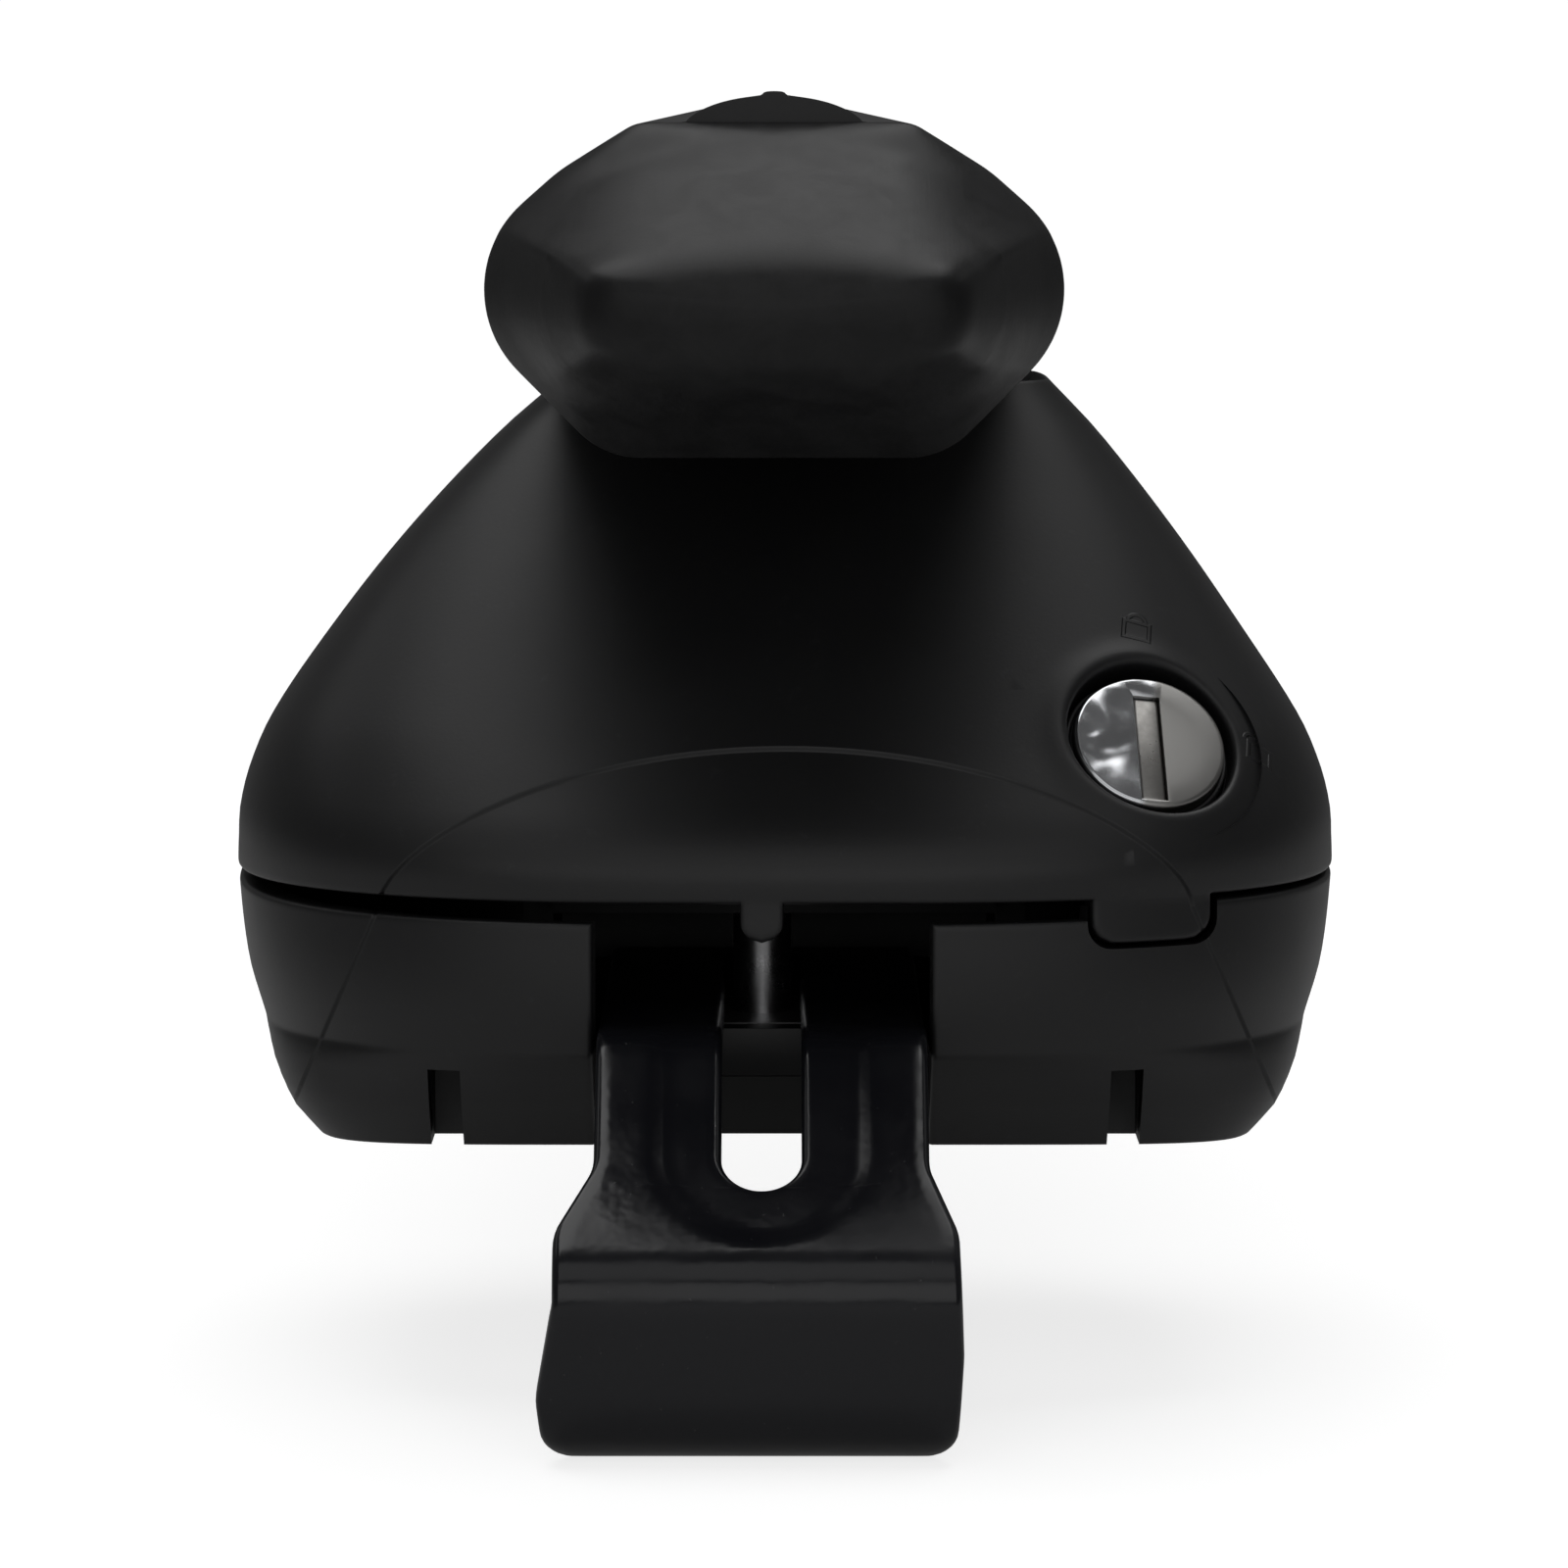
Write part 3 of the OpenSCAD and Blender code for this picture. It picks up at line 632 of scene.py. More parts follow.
def coverShell():
    left, right, low = foot["tab"]
    tongueLeft, tongueRight, tongueLow = foot["tongue"]
    edges = [edgeAtSplit(foot["split"], 1)]
    edges += [edgeAtX(x) for x in (right, left, tongueRight, tongueLeft)]
    edges.append(edgeAtSplit(foot["split"], -1))
    z0 = foot["coverZ"]
    reference = [lineLength(z0, edges[k](z0), edges[k + 1](z0)) for k in range(5)]
    distances = [spaced(r, fine, True, True) for r in reference]
    heights = [z0 + d for d in nearEdge]
    heights += list(np.linspace(z0 + 0.85 + fine, 58, max(4, round(9.3 / fine))))
    heights += list(np.linspace(58 + 1.3 * fine, upperFrom, max(6, round(26 / (1.3 * fine)))))
    sheet = Sheet()
    sheet.grid(levelRows(heights, edges, distances, reference))
    table = np.array([columnAngles(z, edges, distances, reference) for z in topLevels])
    sheet.grid(upperRows(table, holeOutline, fine))
    starts = np.cumsum([0] + [len(d) - 1 for d in distances])

    def drop(segment, a, b, bottom, radius):
        # the part of the cover that hangs below its edge between two columns, with rounded corners
        picked = slice(starts[segment], starts[segment + 1] + 1)
        depth = z0 - bottom
        rows = []
        levels = np.linspace(bottom - 0.5, z0, 24)
        columns = np.array([columnAngles(z, edges, distances, reference)[picked] for z in levels]).T
        for d in spaced(depth, 0.8, True, False):
            row = []
            for angles in columns:
                x = formAt(z0, levels, angles)[0]
                side = max(0.0, min(x - a, b - x, radius))
                low = bottom + radius - math.sqrt(radius ** 2 - (radius - side) ** 2)
                row.append(formAt(low + stretched(d, depth, z0 - low, True, False), levels, angles))
            rows.append(row)
        sheet.grid(rows)

    drop(1, left, right, low, foot["tabRound"])
    drop(3, tongueLeft, tongueRight, tongueLow, 2.1)
    sheet.weld()
    outwardSheet(sheet, (0, 0, 60))
    lockRecess(sheet)
    obj = sheet.shell("cover", foot["wall"], 0.5)
    print("cover", len(obj.data.polygons))
    return obj


def notches():
    # cutters for the two narrow notches in the front of the foot
    half = foot["notchHalf"]
    return [block("notch", (x - half, x + half), (29, 60), (10, foot["notchTop"])) for x in foot["notches"]]


def baseShell():
    play = foot["tabPlay"]
    tabLeft, tabRight = foot["tab"][0] - play, foot["tab"][1] + play
    openLeft, openRight = foot["opening"]
    splitY = foot["split"] + foot["play"]
    edges = [edgeAtX(openLeft), edgeAtSplit(splitY, -1), edgeAtSplit(splitY, 1, 1)]
    edges += [edgeAtX(x, 1) for x in (tabRight, tabLeft, openRight)]
    topZ = foot["coverZ"] - play
    z0 = 40
    reference = [lineLength(z0, edges[k](z0), edges[k + 1](z0)) for k in range(5)]
    distances = [spaced(r, fine * (1.3 if k == 1 else 1), True, True) for k, r in enumerate(reference)]
    heights = [foot["under"][0][0] + d for d in nearEdge]
    heights += list(np.linspace(23, 31, max(4, round(8 / fine))))
    heights += [foot["ledge"] + d for d in (-0.4, -0.15, 0.15, 0.4, 0.9)]
    heights += list(np.linspace(34, z0, max(3, round(6 / fine))))
    rows = levelRows(heights, edges, distances, reference)
    starts = np.cumsum([0] + [len(d) - 1 for d in distances])
    levels = np.linspace(39.5, 47.5, 17)
    table = np.array([columnAngles(z, edges, distances, reference) for z in levels])
    drop, slope = foot["edgeGap"]
    for d in spaced(topZ - z0, fine, False, True)[1:]:
        row = []
        for j, angles in enumerate(table.T):
            edge = topZ
            x, y, z = formAt(topZ, levels, angles)
            inFront = j < starts[1] or j > starts[2]
            if inFront and x < tabLeft + 0.05:
                # the gap under the cover widens towards the hook
                outward = min(y, -foot["mid"]) + foot["mid"]
                edge += math.tan(math.radians(slope)) * outward - drop * (1 - max(0, min(1, (y + 12) / 16)))
            row.append(formAt(z0 + stretched(d, topZ - z0, edge - z0, False, True), levels, angles))
        rows.append(row)
    sheet = Sheet()
    sheet.grid(rows)
    # the back of the foot goes on up to the bar
    backEdges, backDistances, backReference = edges[1:3], distances[1:2], reference[1:2]
    high = [topZ] + list(np.linspace(topZ + 1.3 * fine, upperFrom, round(36 / (1.4 * fine))))
    sheet.grid(levelRows(high, backEdges, backDistances, backReference))
    backTable = np.array([columnAngles(z, backEdges, backDistances, backReference) for z in topLevels])
    tight = [(p.x, p.y + bar["centreZ"]) for p in barOutline(0.15, 6)]
    sheet.grid(upperRows(backTable, tight, fine * 1.2))
    sheet.weld()
    outwardSheet(sheet, (0, 0, 50))
    obj = sheet.shell("base", foot["wall"], 0.5)
    low, corner = foot["tab"][2] - play, foot["tabRound"]
    tabPlace = [(tabLeft, low + 20), (tabLeft, low), (tabRight, low), (tabRight, low + 20)]
    tab = prism("tab", roundedOutline(tabPlace, [0, corner, corner, 0], 6), 10, 70, upright)
    cut(obj, tab, *notches())
    print("base", len(obj.data.polygons))
    return obj


def ringLoft(name, heights, inset, count=120):
    # a closed solid with the foot's own outline at each height
    verts = []
    for z in heights:
        x, y = formPoint(z, np.linspace(0, 2 * math.pi, count, endpoint=False), inset)
        verts += [(float(a), float(b), z) for a, b in zip(x, y)]
    faces = bandFaces(len(heights), count)
    faces += [list(range(count)), [(len(heights) - 1) * count + i for i in range(count)]]
    return turnOutward(meshObject(name, verts, faces))


def baseFloor():
    # floor of the foot, with the rim that holds its pad and the window for the clamp's nut
    obj = ringLoft("floor", [21.5, 23, 24.5, 26.5, 28.5, 30, 31.4], 1.4)
    opening = block("opening", foot["opening"], (foot["openingFrom"], 70), (0, 60))
    window = block("window", *foot["window"], (10, 50))
    pad = prism("pad", roundedOutline(foot["pad"], [4] * 4), 10, foot["padTop"])
    cut(obj, opening, window, pad, *notches())
    return bevelled(obj, 0.4, 2, 50)


# Hook: a slotted strip of steel, bent down and out, then down to its foot
hook = {
    "x": -1.2,
    "line": [(-12, 35.1), (52.6, 35.1), (73.4, 14.6), (71.5, -hookDrop), (60.6, -hookDrop)],
    "bend": 7.5,
    "thick": 3.5,
    "neck": (15.9, 24),
    "right": [(18.6, 18.7), (19, 7), (18.4, -hookDrop)],
    "left": [(19.6, 18.7), (19.6, 12.2), (21.2, 3), (20.6, -hookDrop)],
    "corner": 2.8,
    "slotFrom": -6.2,
    "slotEndZ": 22.4,
    "slotHalf": 3.8,
    "track": {"inner": 9.0, "outer": 10.6, "depth": 0.5, "from": 60, "over": 5},
    "lining": 2.6,
    "liningGap": 0.06,
    "liningBend": 4.4,
    "liningWide": 35,
}


def bentLine(corners, radius, step=0.1):
    # points of the line with its corners rounded, and the distance along it
    points = [Vector(corners[0])]
    for a, b, c in zip(corners, corners[1:], corners[2:]):
        points += cornerArc(a, b, c, radius, step=step)
    points.append(Vector(corners[-1]))
    run = [0]
    for a, b in zip(points, points[1:]):
        run.append(run[-1] + (b - a).length)
    return np.array([p.x for p in points]), np.array([p.y for p in points]), np.array(run)


def hookSide(edge, radii):
    # how far the hook reaches sideways at a height, seen from the front
    neck, neckZ = hook["neck"]
    line = sorted((p.y, p.x) for p in roundedOutline([(neck, 60), (neck, neckZ), *edge], radii, 8))
    heights, widths = [p[0] for p in line], [p[1] for p in line]
    corner = hook["corner"]

    def at(z):
        low = max(0, corner - z - hookDrop)
        return float(np.interp(z, heights, widths)) - (corner - math.sqrt(max(0, corner ** 2 - low ** 2)))
    return at


def hookMarks(total, slotFrom, slotTo, step):
    # distances along the strip, close together at its ends and round the ends of the slot
    half = hook["slotHalf"]
    marks = nearEdge + [total - d for d in nearEdge]
    for k in range(0, 19):
        marks.append(slotTo + half * math.sin(math.radians(5 * k)))
        marks.append(slotFrom - half * math.sin(math.radians(5 * k)))
    marks += [slotTo + half + d for d in (0.06, 0.16, 0.3, 0.5, 0.75)]
    marks += [slotFrom - half - d for d in (0.08, 0.25, 0.5, 0.8)]
    regular = list(np.arange(1.4, total - 1, step))
    marks += [d for d in regular if all(abs(d - m) > step * 0.45 for m in marks)]
    return sorted(set(round(m, 4) for m in marks))


def hookPlate():
    u, z, run = bentLine(hook["line"], hook["bend"])
    half, track = hook["slotHalf"], hook["track"]
    slotFrom = hook["slotFrom"] + half - hook["line"][0][0]
    slotTo = float(np.interp(-hook["slotEndZ"], -z, run)) - half
    edgeAt = {-1: hookSide(hook["left"], [0, 3, 3, 4, 6, 0]), 1: hookSide(hook["right"], [0, 3, 3, 6, 0])}
    step = 0.75
    reference = hook["neck"][0] - half
    spread = spaced(reference, step * 1.05, True, True)
    rows = {-1: [], 1: []}

    def lineAt(s):
        return Vector((float(np.interp(s, run, u)), float(np.interp(s, run, z))))

    for s in hookMarks(float(run[-1]), slotFrom, slotTo, step):
        at = lineAt(s)
        along = (lineAt(s + 0.15) - lineAt(s - 0.15)).normalized()
        over = max(s - slotTo, slotFrom - s, 0)
        gap = math.sqrt(max(0, half ** 2 - over ** 2))
        for side in (-1, 1):
            width = edgeAt[side](max(at.y, -hookDrop))
            row = []
            for d in spread:
                x = gap + stretched(d, reference, width - gap, True, True)
                # a shallow track runs round the slot where the strip slopes down
                t = max(0, min(1, (math.hypot(x, over) - track["inner"]) / (track["outer"] - track["inner"])))
                fade = max(0, min(1, (s - track["from"]) / track["over"]))
                sink = track["depth"] * (1 - t * t * (3 - 2 * t)) * fade
                row.append((hook["x"] + side * x, -(at.x + along.y * sink), at.y - along.x * sink))
            rows[side].append(row if side > 0 else row[::-1])
    sheet = Sheet()
    sheet.grid(rows[-1])
    sheet.grid(rows[1])
    sheet.weld(0.01)
    outwardSheet(sheet, (hook["x"], -30, -40))
    obj = sheet.shell("hook", hook["thick"], 0.85)
    print("hook", len(obj.data.polygons))
    return obj


def hookLining():
    # rubber strip inside the hook's foot
    gap = hook["liningGap"]
    line = [Vector(p) for p in hook["line"]]
    inner = []
    for i in (2, 3):
        before, after = (line[i] - line[i - 1]).normalized(), (line[i + 1] - line[i]).normalized()
        right = Vector((before.y + after.y, -before.x - after.x)).normalized()
        inner.append(line[i] + right * (hook["thick"] + gap) / (right.x * before.y - right.y * before.x))
    heel = inner[1]
    top = inner[0].lerp(inner[1], 0.25)
    toe = heel - Vector((6.4, 0))
    u, z, run = bentLine([top, heel, toe], hook["liningBend"])
    wide = hook["liningWide"]
    rows = []
    for s in spaced(float(run[-1]), 0.7, True, True):
        a, b = float(np.interp(s, run, u)), float(np.interp(s, run, z))
        rows.append([(hook["x"] + d - wide / 2, -a, b) for d in spaced(wide, 2.2, True, True)])
    sheet = Sheet()
    sheet.grid(rows)
    outwardSheet(sheet, (hook["x"], -50, 8))
    return sheet.shell("lining", hook["lining"], 0.6)


# End cap: the bar's outline drawn in to a narrow nose. A domed crown ends in a crease that runs right round,
# with a plain belt below it, then a facet that turns back under the cap
cap = {
    "depth": 25,
    "roll": 3.0,
    "nose": (15.9, 1.6, -4.5),
    "crease": 0.2,
    "facetZ": -8.4,
    "keel": [Vector((17, -11.4)), Vector((9.5, -9.2))],
    "keelAt": (0.3, 0.72),
    "crownCurve": 1.2,
    "points": (64, 30, 54),
    "ease": (6.5, 1.5, 1.8),
    "soft": 0.75,
    "proud": (0.006, 12),
    "meltFrom": 13,
    "meltOver": 7,
    "melt": 150,
}


def capStations():
    # runs of points along the bar's outline, for crown, belt and lower facet, and where each ends on the nose
    flank, under = Vector(bar["half"][2]), Vector(bar["half"][3])
    side = flank.lerp(under, (cap["facetZ"] - flank.y) / (under.y - flank.y))
    half = bar["half"][:3] + [tuple(side)] + bar["half"][3:]
    radii = bar["halfRadii"][:3] + [0] + bar["halfRadii"][3:]
    steps = 20
    outline = roundedOutline(half + [(-x, z) for x, z in half[::-1]], radii + radii[::-1], steps)
    size = steps + 1
    crease = 2 * size + round(cap["crease"] * steps)
    crown = [Vector((0, bar["halfHeight"]))] + outline[:crease + 1]
    belt = outline[crease:3 * size + 1]
    lower = outline[3 * size:4 * size + 1] + [Vector((0, -bar["halfHeight"]))]
    wide, high, low = cap["nose"]
    runs = []
    for points in (crown, belt, lower):
        run = np.cumsum([0] + [(b - a).length for a, b in zip(points, points[1:])])
        runs.append(run / run[-1])
    ends = [
        [Vector((wide * f, high + 0.35 * (1 - f * f))) for f in runs[0]],
        [Vector((wide + 0.3 * math.sin(math.pi * f), high + (low - high) * f)) for f in runs[1]],
        [Vector((wide * (1 - f), low - 0.3 * (1 - (1 - f) ** 2))) for f in runs[2]],
    ]
    keel = [None] + [k / steps for k in range(size)] + [1]
    return [(crown, ends[0], cap["crownCurve"], None), (belt, ends[1], 1, None), (lower, ends[2], 1, keel)]


def eased(values, sigma, head, tail):
    # values along a line, averaged with their neighbours and carried on past each end, odd or even about it
    if sigma < 0.15:
        return values
    reach = min(int(3 * sigma) + 1, len(values) - 1)
    weights = np.exp(-0.5 * (np.arange(-reach, reach + 1) / sigma) ** 2)
    weights /= weights.sum()
    before, after = values[reach:0:-1], values[-2:-reach - 2:-1]
    before = 2 * values[0] - before if head == "odd" else before
    after = 2 * values[-1] - after if tail == "odd" else after
    return np.convolve(np.concatenate([before, values, after]), weights, "valid")


def evenly(points, count):
    # a line's points moved along it to even distances, and that distance
    run = np.concatenate([[0], np.cumsum(np.hypot(*np.diff(points, axis=0).T))])
    at = np.linspace(0, run[-1], count)
    moved = np.stack([np.interp(at, run, points[:, 0]), np.interp(at, run, points[:, 1])], axis=1)
    return moved, run[-1] / (count - 1)


def capRun(starts, ends, curve, keel, t):
    points = []
    for i, (start, end) in enumerate(zip(starts, ends)):
        if keel is None or keel[i] is None:
            p = start.lerp(end, t ** curve)
        else:
            first, last = cap["keelAt"]
            bend = first + (last - first) * keel[i]
            via = cap["keel"][0].lerp(cap["keel"][1], keel[i])
            if start.x < 0.01:
                via.x = 0
            p = start.lerp(via, t / bend) if t < bend else via.lerp(end, (t - bend) / (1 - bend))
        points.append((p.x, p.y))
    return np.array(points)


def capRing(stations, d):
    # the right half of the cap's outline at one depth
    parts = []
    sides = [("even", "odd"), ("odd", "odd"), ("odd", "even")]
    for station, count, ease, (head, tail) in zip(stations, cap["points"], cap["ease"], sides):
        points, spacing = evenly(capRun(*station, d / cap["depth"]), count)
        sigma = ease * min(1, d / 4) ** 1.5 / spacing
        x = eased(points[:, 0], sigma, "odd", "odd")
        z = eased(points[:, 1], sigma, head, tail)
        parts.append(np.stack([x, z], axis=1)[(0 if not parts else 1):])
    ring, spacing = evenly(np.concatenate(parts), sum(cap["points"]) - 2)
    sigma = cap["soft"] * min(1, d / 3) / spacing
    x, z = eased(ring[:, 0], sigma, "odd", "odd"), eased(ring[:, 1], sigma, "even", "even")
    return np.stack([x, z], axis=1)


def melted(grid):
    # the nose melts into the sides: each of its points moves toward the middle of its neighbours, many times
    free = np.clip((grid[:, :, 2:] - cap["meltFrom"]) / cap["meltOver"], 0, 1)
    for _ in range(cap["melt"]):
        tip = np.broadcast_to(grid[-1].mean(axis=0), (1, *grid.shape[1:]))
        beyond, before = np.concatenate([grid[1:], tip]), np.concatenate([grid[:1], grid[:-1]])
        mean = (beyond + before + np.roll(grid, 1, axis=1) + np.roll(grid, -1, axis=1)) / 4
        grid = grid + 0.5 * free * (mean - grid)
    return grid


def capBody():
    stations = capStations()
    depth, roll = cap["depth"], cap["roll"]
    depths = np.linspace(0, depth, 101)
    table = np.array([capRing(stations, d) for d in depths])
    count = table.shape[1]
    lengthwise = 1.0 / (depths[1] - depths[0])
    for j in range(count):
        for axis in (0, 1):
            table[:, j, axis] = eased(table[:, j, axis], lengthwise, "odd", "odd")
    # each level's depth, and how far its edge is rounded in
    levels = [(0.0, 0.3), (0.06, 0.14), (0.2, 0.03)] + [(d, 0) for d in depths if 0.3 < d < depth - roll]
    for angle in (math.radians(9 * k) for k in range(0, 11)):
        levels.append((depth - roll * (1 - math.sin(angle)), roll * (1 - math.cos(angle))))
    wide, high, low = cap["nose"]
    middle = (high + low) / 2
    proud, proudTo = cap["proud"]
    verts = []
    for d, inset in levels:
        ring = np.array([[np.interp(d, depths, table[:, j, axis]) for axis in (0, 1)] for j in range(count)])
        reach = (wide, high - middle) if d > 1 else (26, 16)
        ring = (ring - (0, middle)) * (1 - inset / reach[0], 1 - inset / reach[1]) + (0, middle)
        # a touch proud of the bar, so that the bar's own outline stays hidden behind it
        ring = ring * (1 + proud * max(0, 1 - d / proudTo))
        left = ring[-2:0:-1] * (-1, 1)
        verts += [(x, z, d) for x, z in np.concatenate([ring, left])]
    around = 2 * count - 2
    grid = melted(np.array(verts).reshape(len(levels), around, 3))
    verts = [tuple(p) for p in grid.reshape(-1, 3)]
    last, tip = (len(levels) - 1) * around, len(verts)
    verts.append(tuple(grid[-1].mean(axis=0)))
    faces = bandFaces(len(levels), around)
    faces += [[last + i, last + (i + 1) % around, tip] for i in range(around)]
    faces.append(list(range(around))[::-1])
    obj = meshObject("cap", verts, faces)
    obj.data.transform(Matrix.Translation((0, -60, bar["centreZ"])) @ upright)
    return turnOutward(obj)


# Rubber strip in the slot along the top of the bar: a dome with a rib along its crest, and a grip in the slot
stripForm = {
    "dome": (8.8, 3.7, -1.2),
    "rib": [(1.3, 2.5), (1.12, 2.62), (0.95, 2.78), (0.7, 2.86), (0.35, 2.89), (0, 2.9)],
    "ribFrom": 1.4,
    "grip": [(8.6, -6.5), (8.6, -2.9), (5.3, -2.9), (5.3, 0.0), (8.7, 0.02)],
}


def stripBody():
    half, rise, sunk = stripForm["dome"]
    dome = [(half * math.cos(a), rise * math.sin(a) + sunk) for a in (math.radians(2 * k) for k in range(91))]
    dome = [p for p in dome if p[1] > 0.02]
    rib, grip = stripForm["rib"], stripForm["grip"]
    outline = [p for p in dome if p[0] > stripForm["ribFrom"]] + rib + [(-x, z) for x, z in rib[::-1][1:]]
    outline += [p for p in dome if p[0] < -stripForm["ribFrom"]] + [(-x, z) for x, z in grip[::-1]] + grip
    obj = prism("strip", outline, -bar["end"], bar["end"], upright)
    obj.data.transform(Matrix.Translation((0, 0, bar["centreZ"] + bar["halfHeight"] + hookDrop)))
    return obj


def lockPlug():
    r = lock["radius"]
    profile = [(0, -15.4), (3, -15.4), (3, -10.8), (r, -10.8)]
    profile += [(r, -0.42), (r - 0.1, -0.18), (r - 0.32, -0.03), (r - 0.5, 0), (r - 2.5, 0.0), (0, 0.0)]
    plug = turned("plug", profile, 128, lockFrame)
    cut(plug, prism("slot", slotOutline(0), -7, 3, lockFrame))
    return bevelled(plug, 0.1, 2, 60)


def slotOutline(play):
    half, low, high = lock["slot"]
    half, low, high = half - play, low + play, high - play
    return [(-half, low), (half, low), (half, high), (-half, high)]


def keyShutter():
    body = prism("shutter", slotOutline(0.1), -2.4, -0.3)
    bevelled(body, 0.32, 3, 60)
    body.data.transform(lockFrame)
    return body


def lockBarrel():
    outer, inner, bore = lock["barrel"], lock["radius"] + 0.06, 3.05
    profile = [(bore, -12.5), (outer, -12.5), (outer, -1.9), (outer - 0.15, -1.6), (inner + 0.15, -1.6),
               (inner, -1.9), (inner, -11), (bore, -11), (bore, -12.49)]
    return turned("barrel", profile, 96, lockFrame)


# Materials
class Field:
    # a value that varies over a surface
    def __init__(self, made, socket):
        self.made, self.socket = made, socket

    def maths(self, operation, other=0.0):
        return self.made.add("ShaderNodeMath", {0: self, 1: other}, operation=operation)

    def __add__(self, other):
        return self.maths("ADD", other)

    def __sub__(self, other):
        return self.maths("SUBTRACT", other)

    def __mul__(self, other):
        return self.maths("MULTIPLY", other)

    def __truediv__(self, other):
        return self.maths("DIVIDE", other)

    def __pow__(self, other):
        return self.maths("POWER", other)

    def __abs__(self):
        return self.maths("ABSOLUTE")

    def root(self):
        return self.maths("SQRT")

    def above(self, other):
        return self.maths("GREATER_THAN", other)

    def below(self, other):
        return self.maths("LESS_THAN", other)

    def most(self, other):
        return self.maths("MAXIMUM", other)

    def least(self, other):
        return self.maths("MINIMUM", other)

    def between(self, low, high, toLow=0.0, toHigh=1.0, smooth=False):
        values = {"Value": self, "From Min": low, "From Max": high, "To Min": toLow, "To Max": toHigh}
        kind = "SMOOTHSTEP" if smooth else "LINEAR"
        return self.made.add("ShaderNodeMapRange", values, interpolation_type=kind)

    def colours(self, a, b):
        # from colour a where this value is 0 to colour b where it is 1
        return self.made.add("ShaderNodeMix", {0: self, 6: a, 7: b}, 2, data_type="RGBA")

    def parts(self):
        return self.made.outputs("ShaderNodeSeparateXYZ", {0: self}, 0, 1, 2)

    def placed(self, **moves):
        # this point moved, turned or stretched
        return self.made.add("ShaderNodeMapping", {"Vector": self, **moves})


class Finish:
    # a material in the making
    def __init__(self, name, colour, roughness, metallic=0.0, specular=0.5):
        self.material = bpy.data.materials.new(name)
        self.material.use_nodes = True
        self.shader = self.material.node_tree.nodes["Principled BSDF"]
        self.give({"Base Color": colour, "Roughness": roughness})
        self.give({"Metallic": metallic, "Specular IOR Level": specular})

    def feed(self, value, socket):
        if isinstance(value, Field):
            self.material.node_tree.links.new(value.socket, socket)
        else:
            socket.default_value = (*value, 1) if socket.type == "RGBA" else value

    def give(self, values):
        for name, value in values.items():
            self.feed(value, self.shader.inputs[name])

    def outputs(self, kind, inputs, *names, **settings):
        node = self.material.node_tree.nodes.new(kind)
        for key, value in settings.items():
            setattr(node, key, value)
        for key, value in inputs.items():
            self.feed(value, node.inputs[key])
        return [Field(self, node.outputs[name]) for name in names]

    def add(self, kind, inputs, name=0, **settings):
        return self.outputs(kind, inputs, name, **settings)[0]

    def point(self, scale=(1, 1, 1)):
        return self.add("ShaderNodeTexCoord", {}, "Object").placed(Scale=scale)

    def drawn(self, name):
        # where a point lies in the piece's own drawing
        return self.add("ShaderNodeAttribute", {}, "Vector", attribute_name=name)

    def noise(self, point, scale, detail, rough=0.55, distortion=0.0):
        values = {"Vector": point, "Scale": scale, "Detail": detail, "Roughness": rough}
        return self.add("ShaderNodeTexNoise", {**values, "Distortion": distortion}, "Fac")

    def dots(self, point, scale, size):
        # few, small, round specks: most cells of the pattern stay empty
        values = {"Vector": point, "Scale": scale}
        distance, colour = self.outputs("ShaderNodeTexVoronoi", values, "Distance", "Color")
        kept, sizes = colour.parts()[:2]
        return kept.above(0.86) * distance.below(sizes * size)

    def raised(self, *heights):
        # each height is a field, its strength and its depth in metres, the finest one last
        normal = None
        for height, strength, depth in heights:
            values = {"Height": height, "Strength": strength, "Distance": depth}
            normal = self.add("ShaderNodeBump", {**values, "Normal": normal} if normal else values)
        self.give({"Normal": normal})


arch = {
    "foot": 46.0,
    "half": 39.6,
    "rise": 15.3,
    "power": 1.65,
    "flare": 0.44,
    "soft": 0.3,
    "fade": (-27, 30),
}


def archStep(made):
    # a step that follows an oval above the arch's foot, and straight lines down over the base
    x, y, z = made.drawn("foot").parts()
    side = abs(x - foot["x"])
    up = ((z - arch["foot"]) / arch["rise"]).most(0.001)
    across = side / arch["half"]
    slopeX = across * (2 / arch["half"])
    slopeZ = up ** (arch["power"] - 1) * (arch["power"] / arch["rise"])
    oval = (across * across + up ** arch["power"] - 1.0) / (slopeX * slopeX + slopeZ * slopeZ).root()
    drop = (z * -1.0 + arch["foot"]).most(0.0)
    straight = side - arch["half"] - drop * arch["flare"]
    outside = oval * z.above(arch["foot"]) + straight * z.below(arch["foot"])
    step = outside.between(-arch["soft"], arch["soft"], smooth=True)
    return step * y.between(*arch["fade"], 1.0, 0.0, smooth=True)


def padlocks(made):
    # outlines of a closed and an open padlock, raised from the cover beside its lock
    lines = []
    for atX, atY, lean, opened in lock["signs"]:
        place = made.drawn("lock").placed(Location=(-atX, -atY, 0))
        x, y, z = place.placed(Rotation=(0, 0, math.radians(lean)), Scale=[lock["signScale"]] * 3).parts()
        body = (abs(x) - 1.05).most(abs(y + 0.8) - 0.8)
        arcX = x + (0.7 if opened else 0.0)
        arc = abs((arcX * arcX + y * y).root() - 0.75) + y.below(0.0)
        lines.append(abs(body).least(arc).between(0.1, 0.22, 1.0, 0.0, smooth=True))
    return lines[0].most(lines[1])


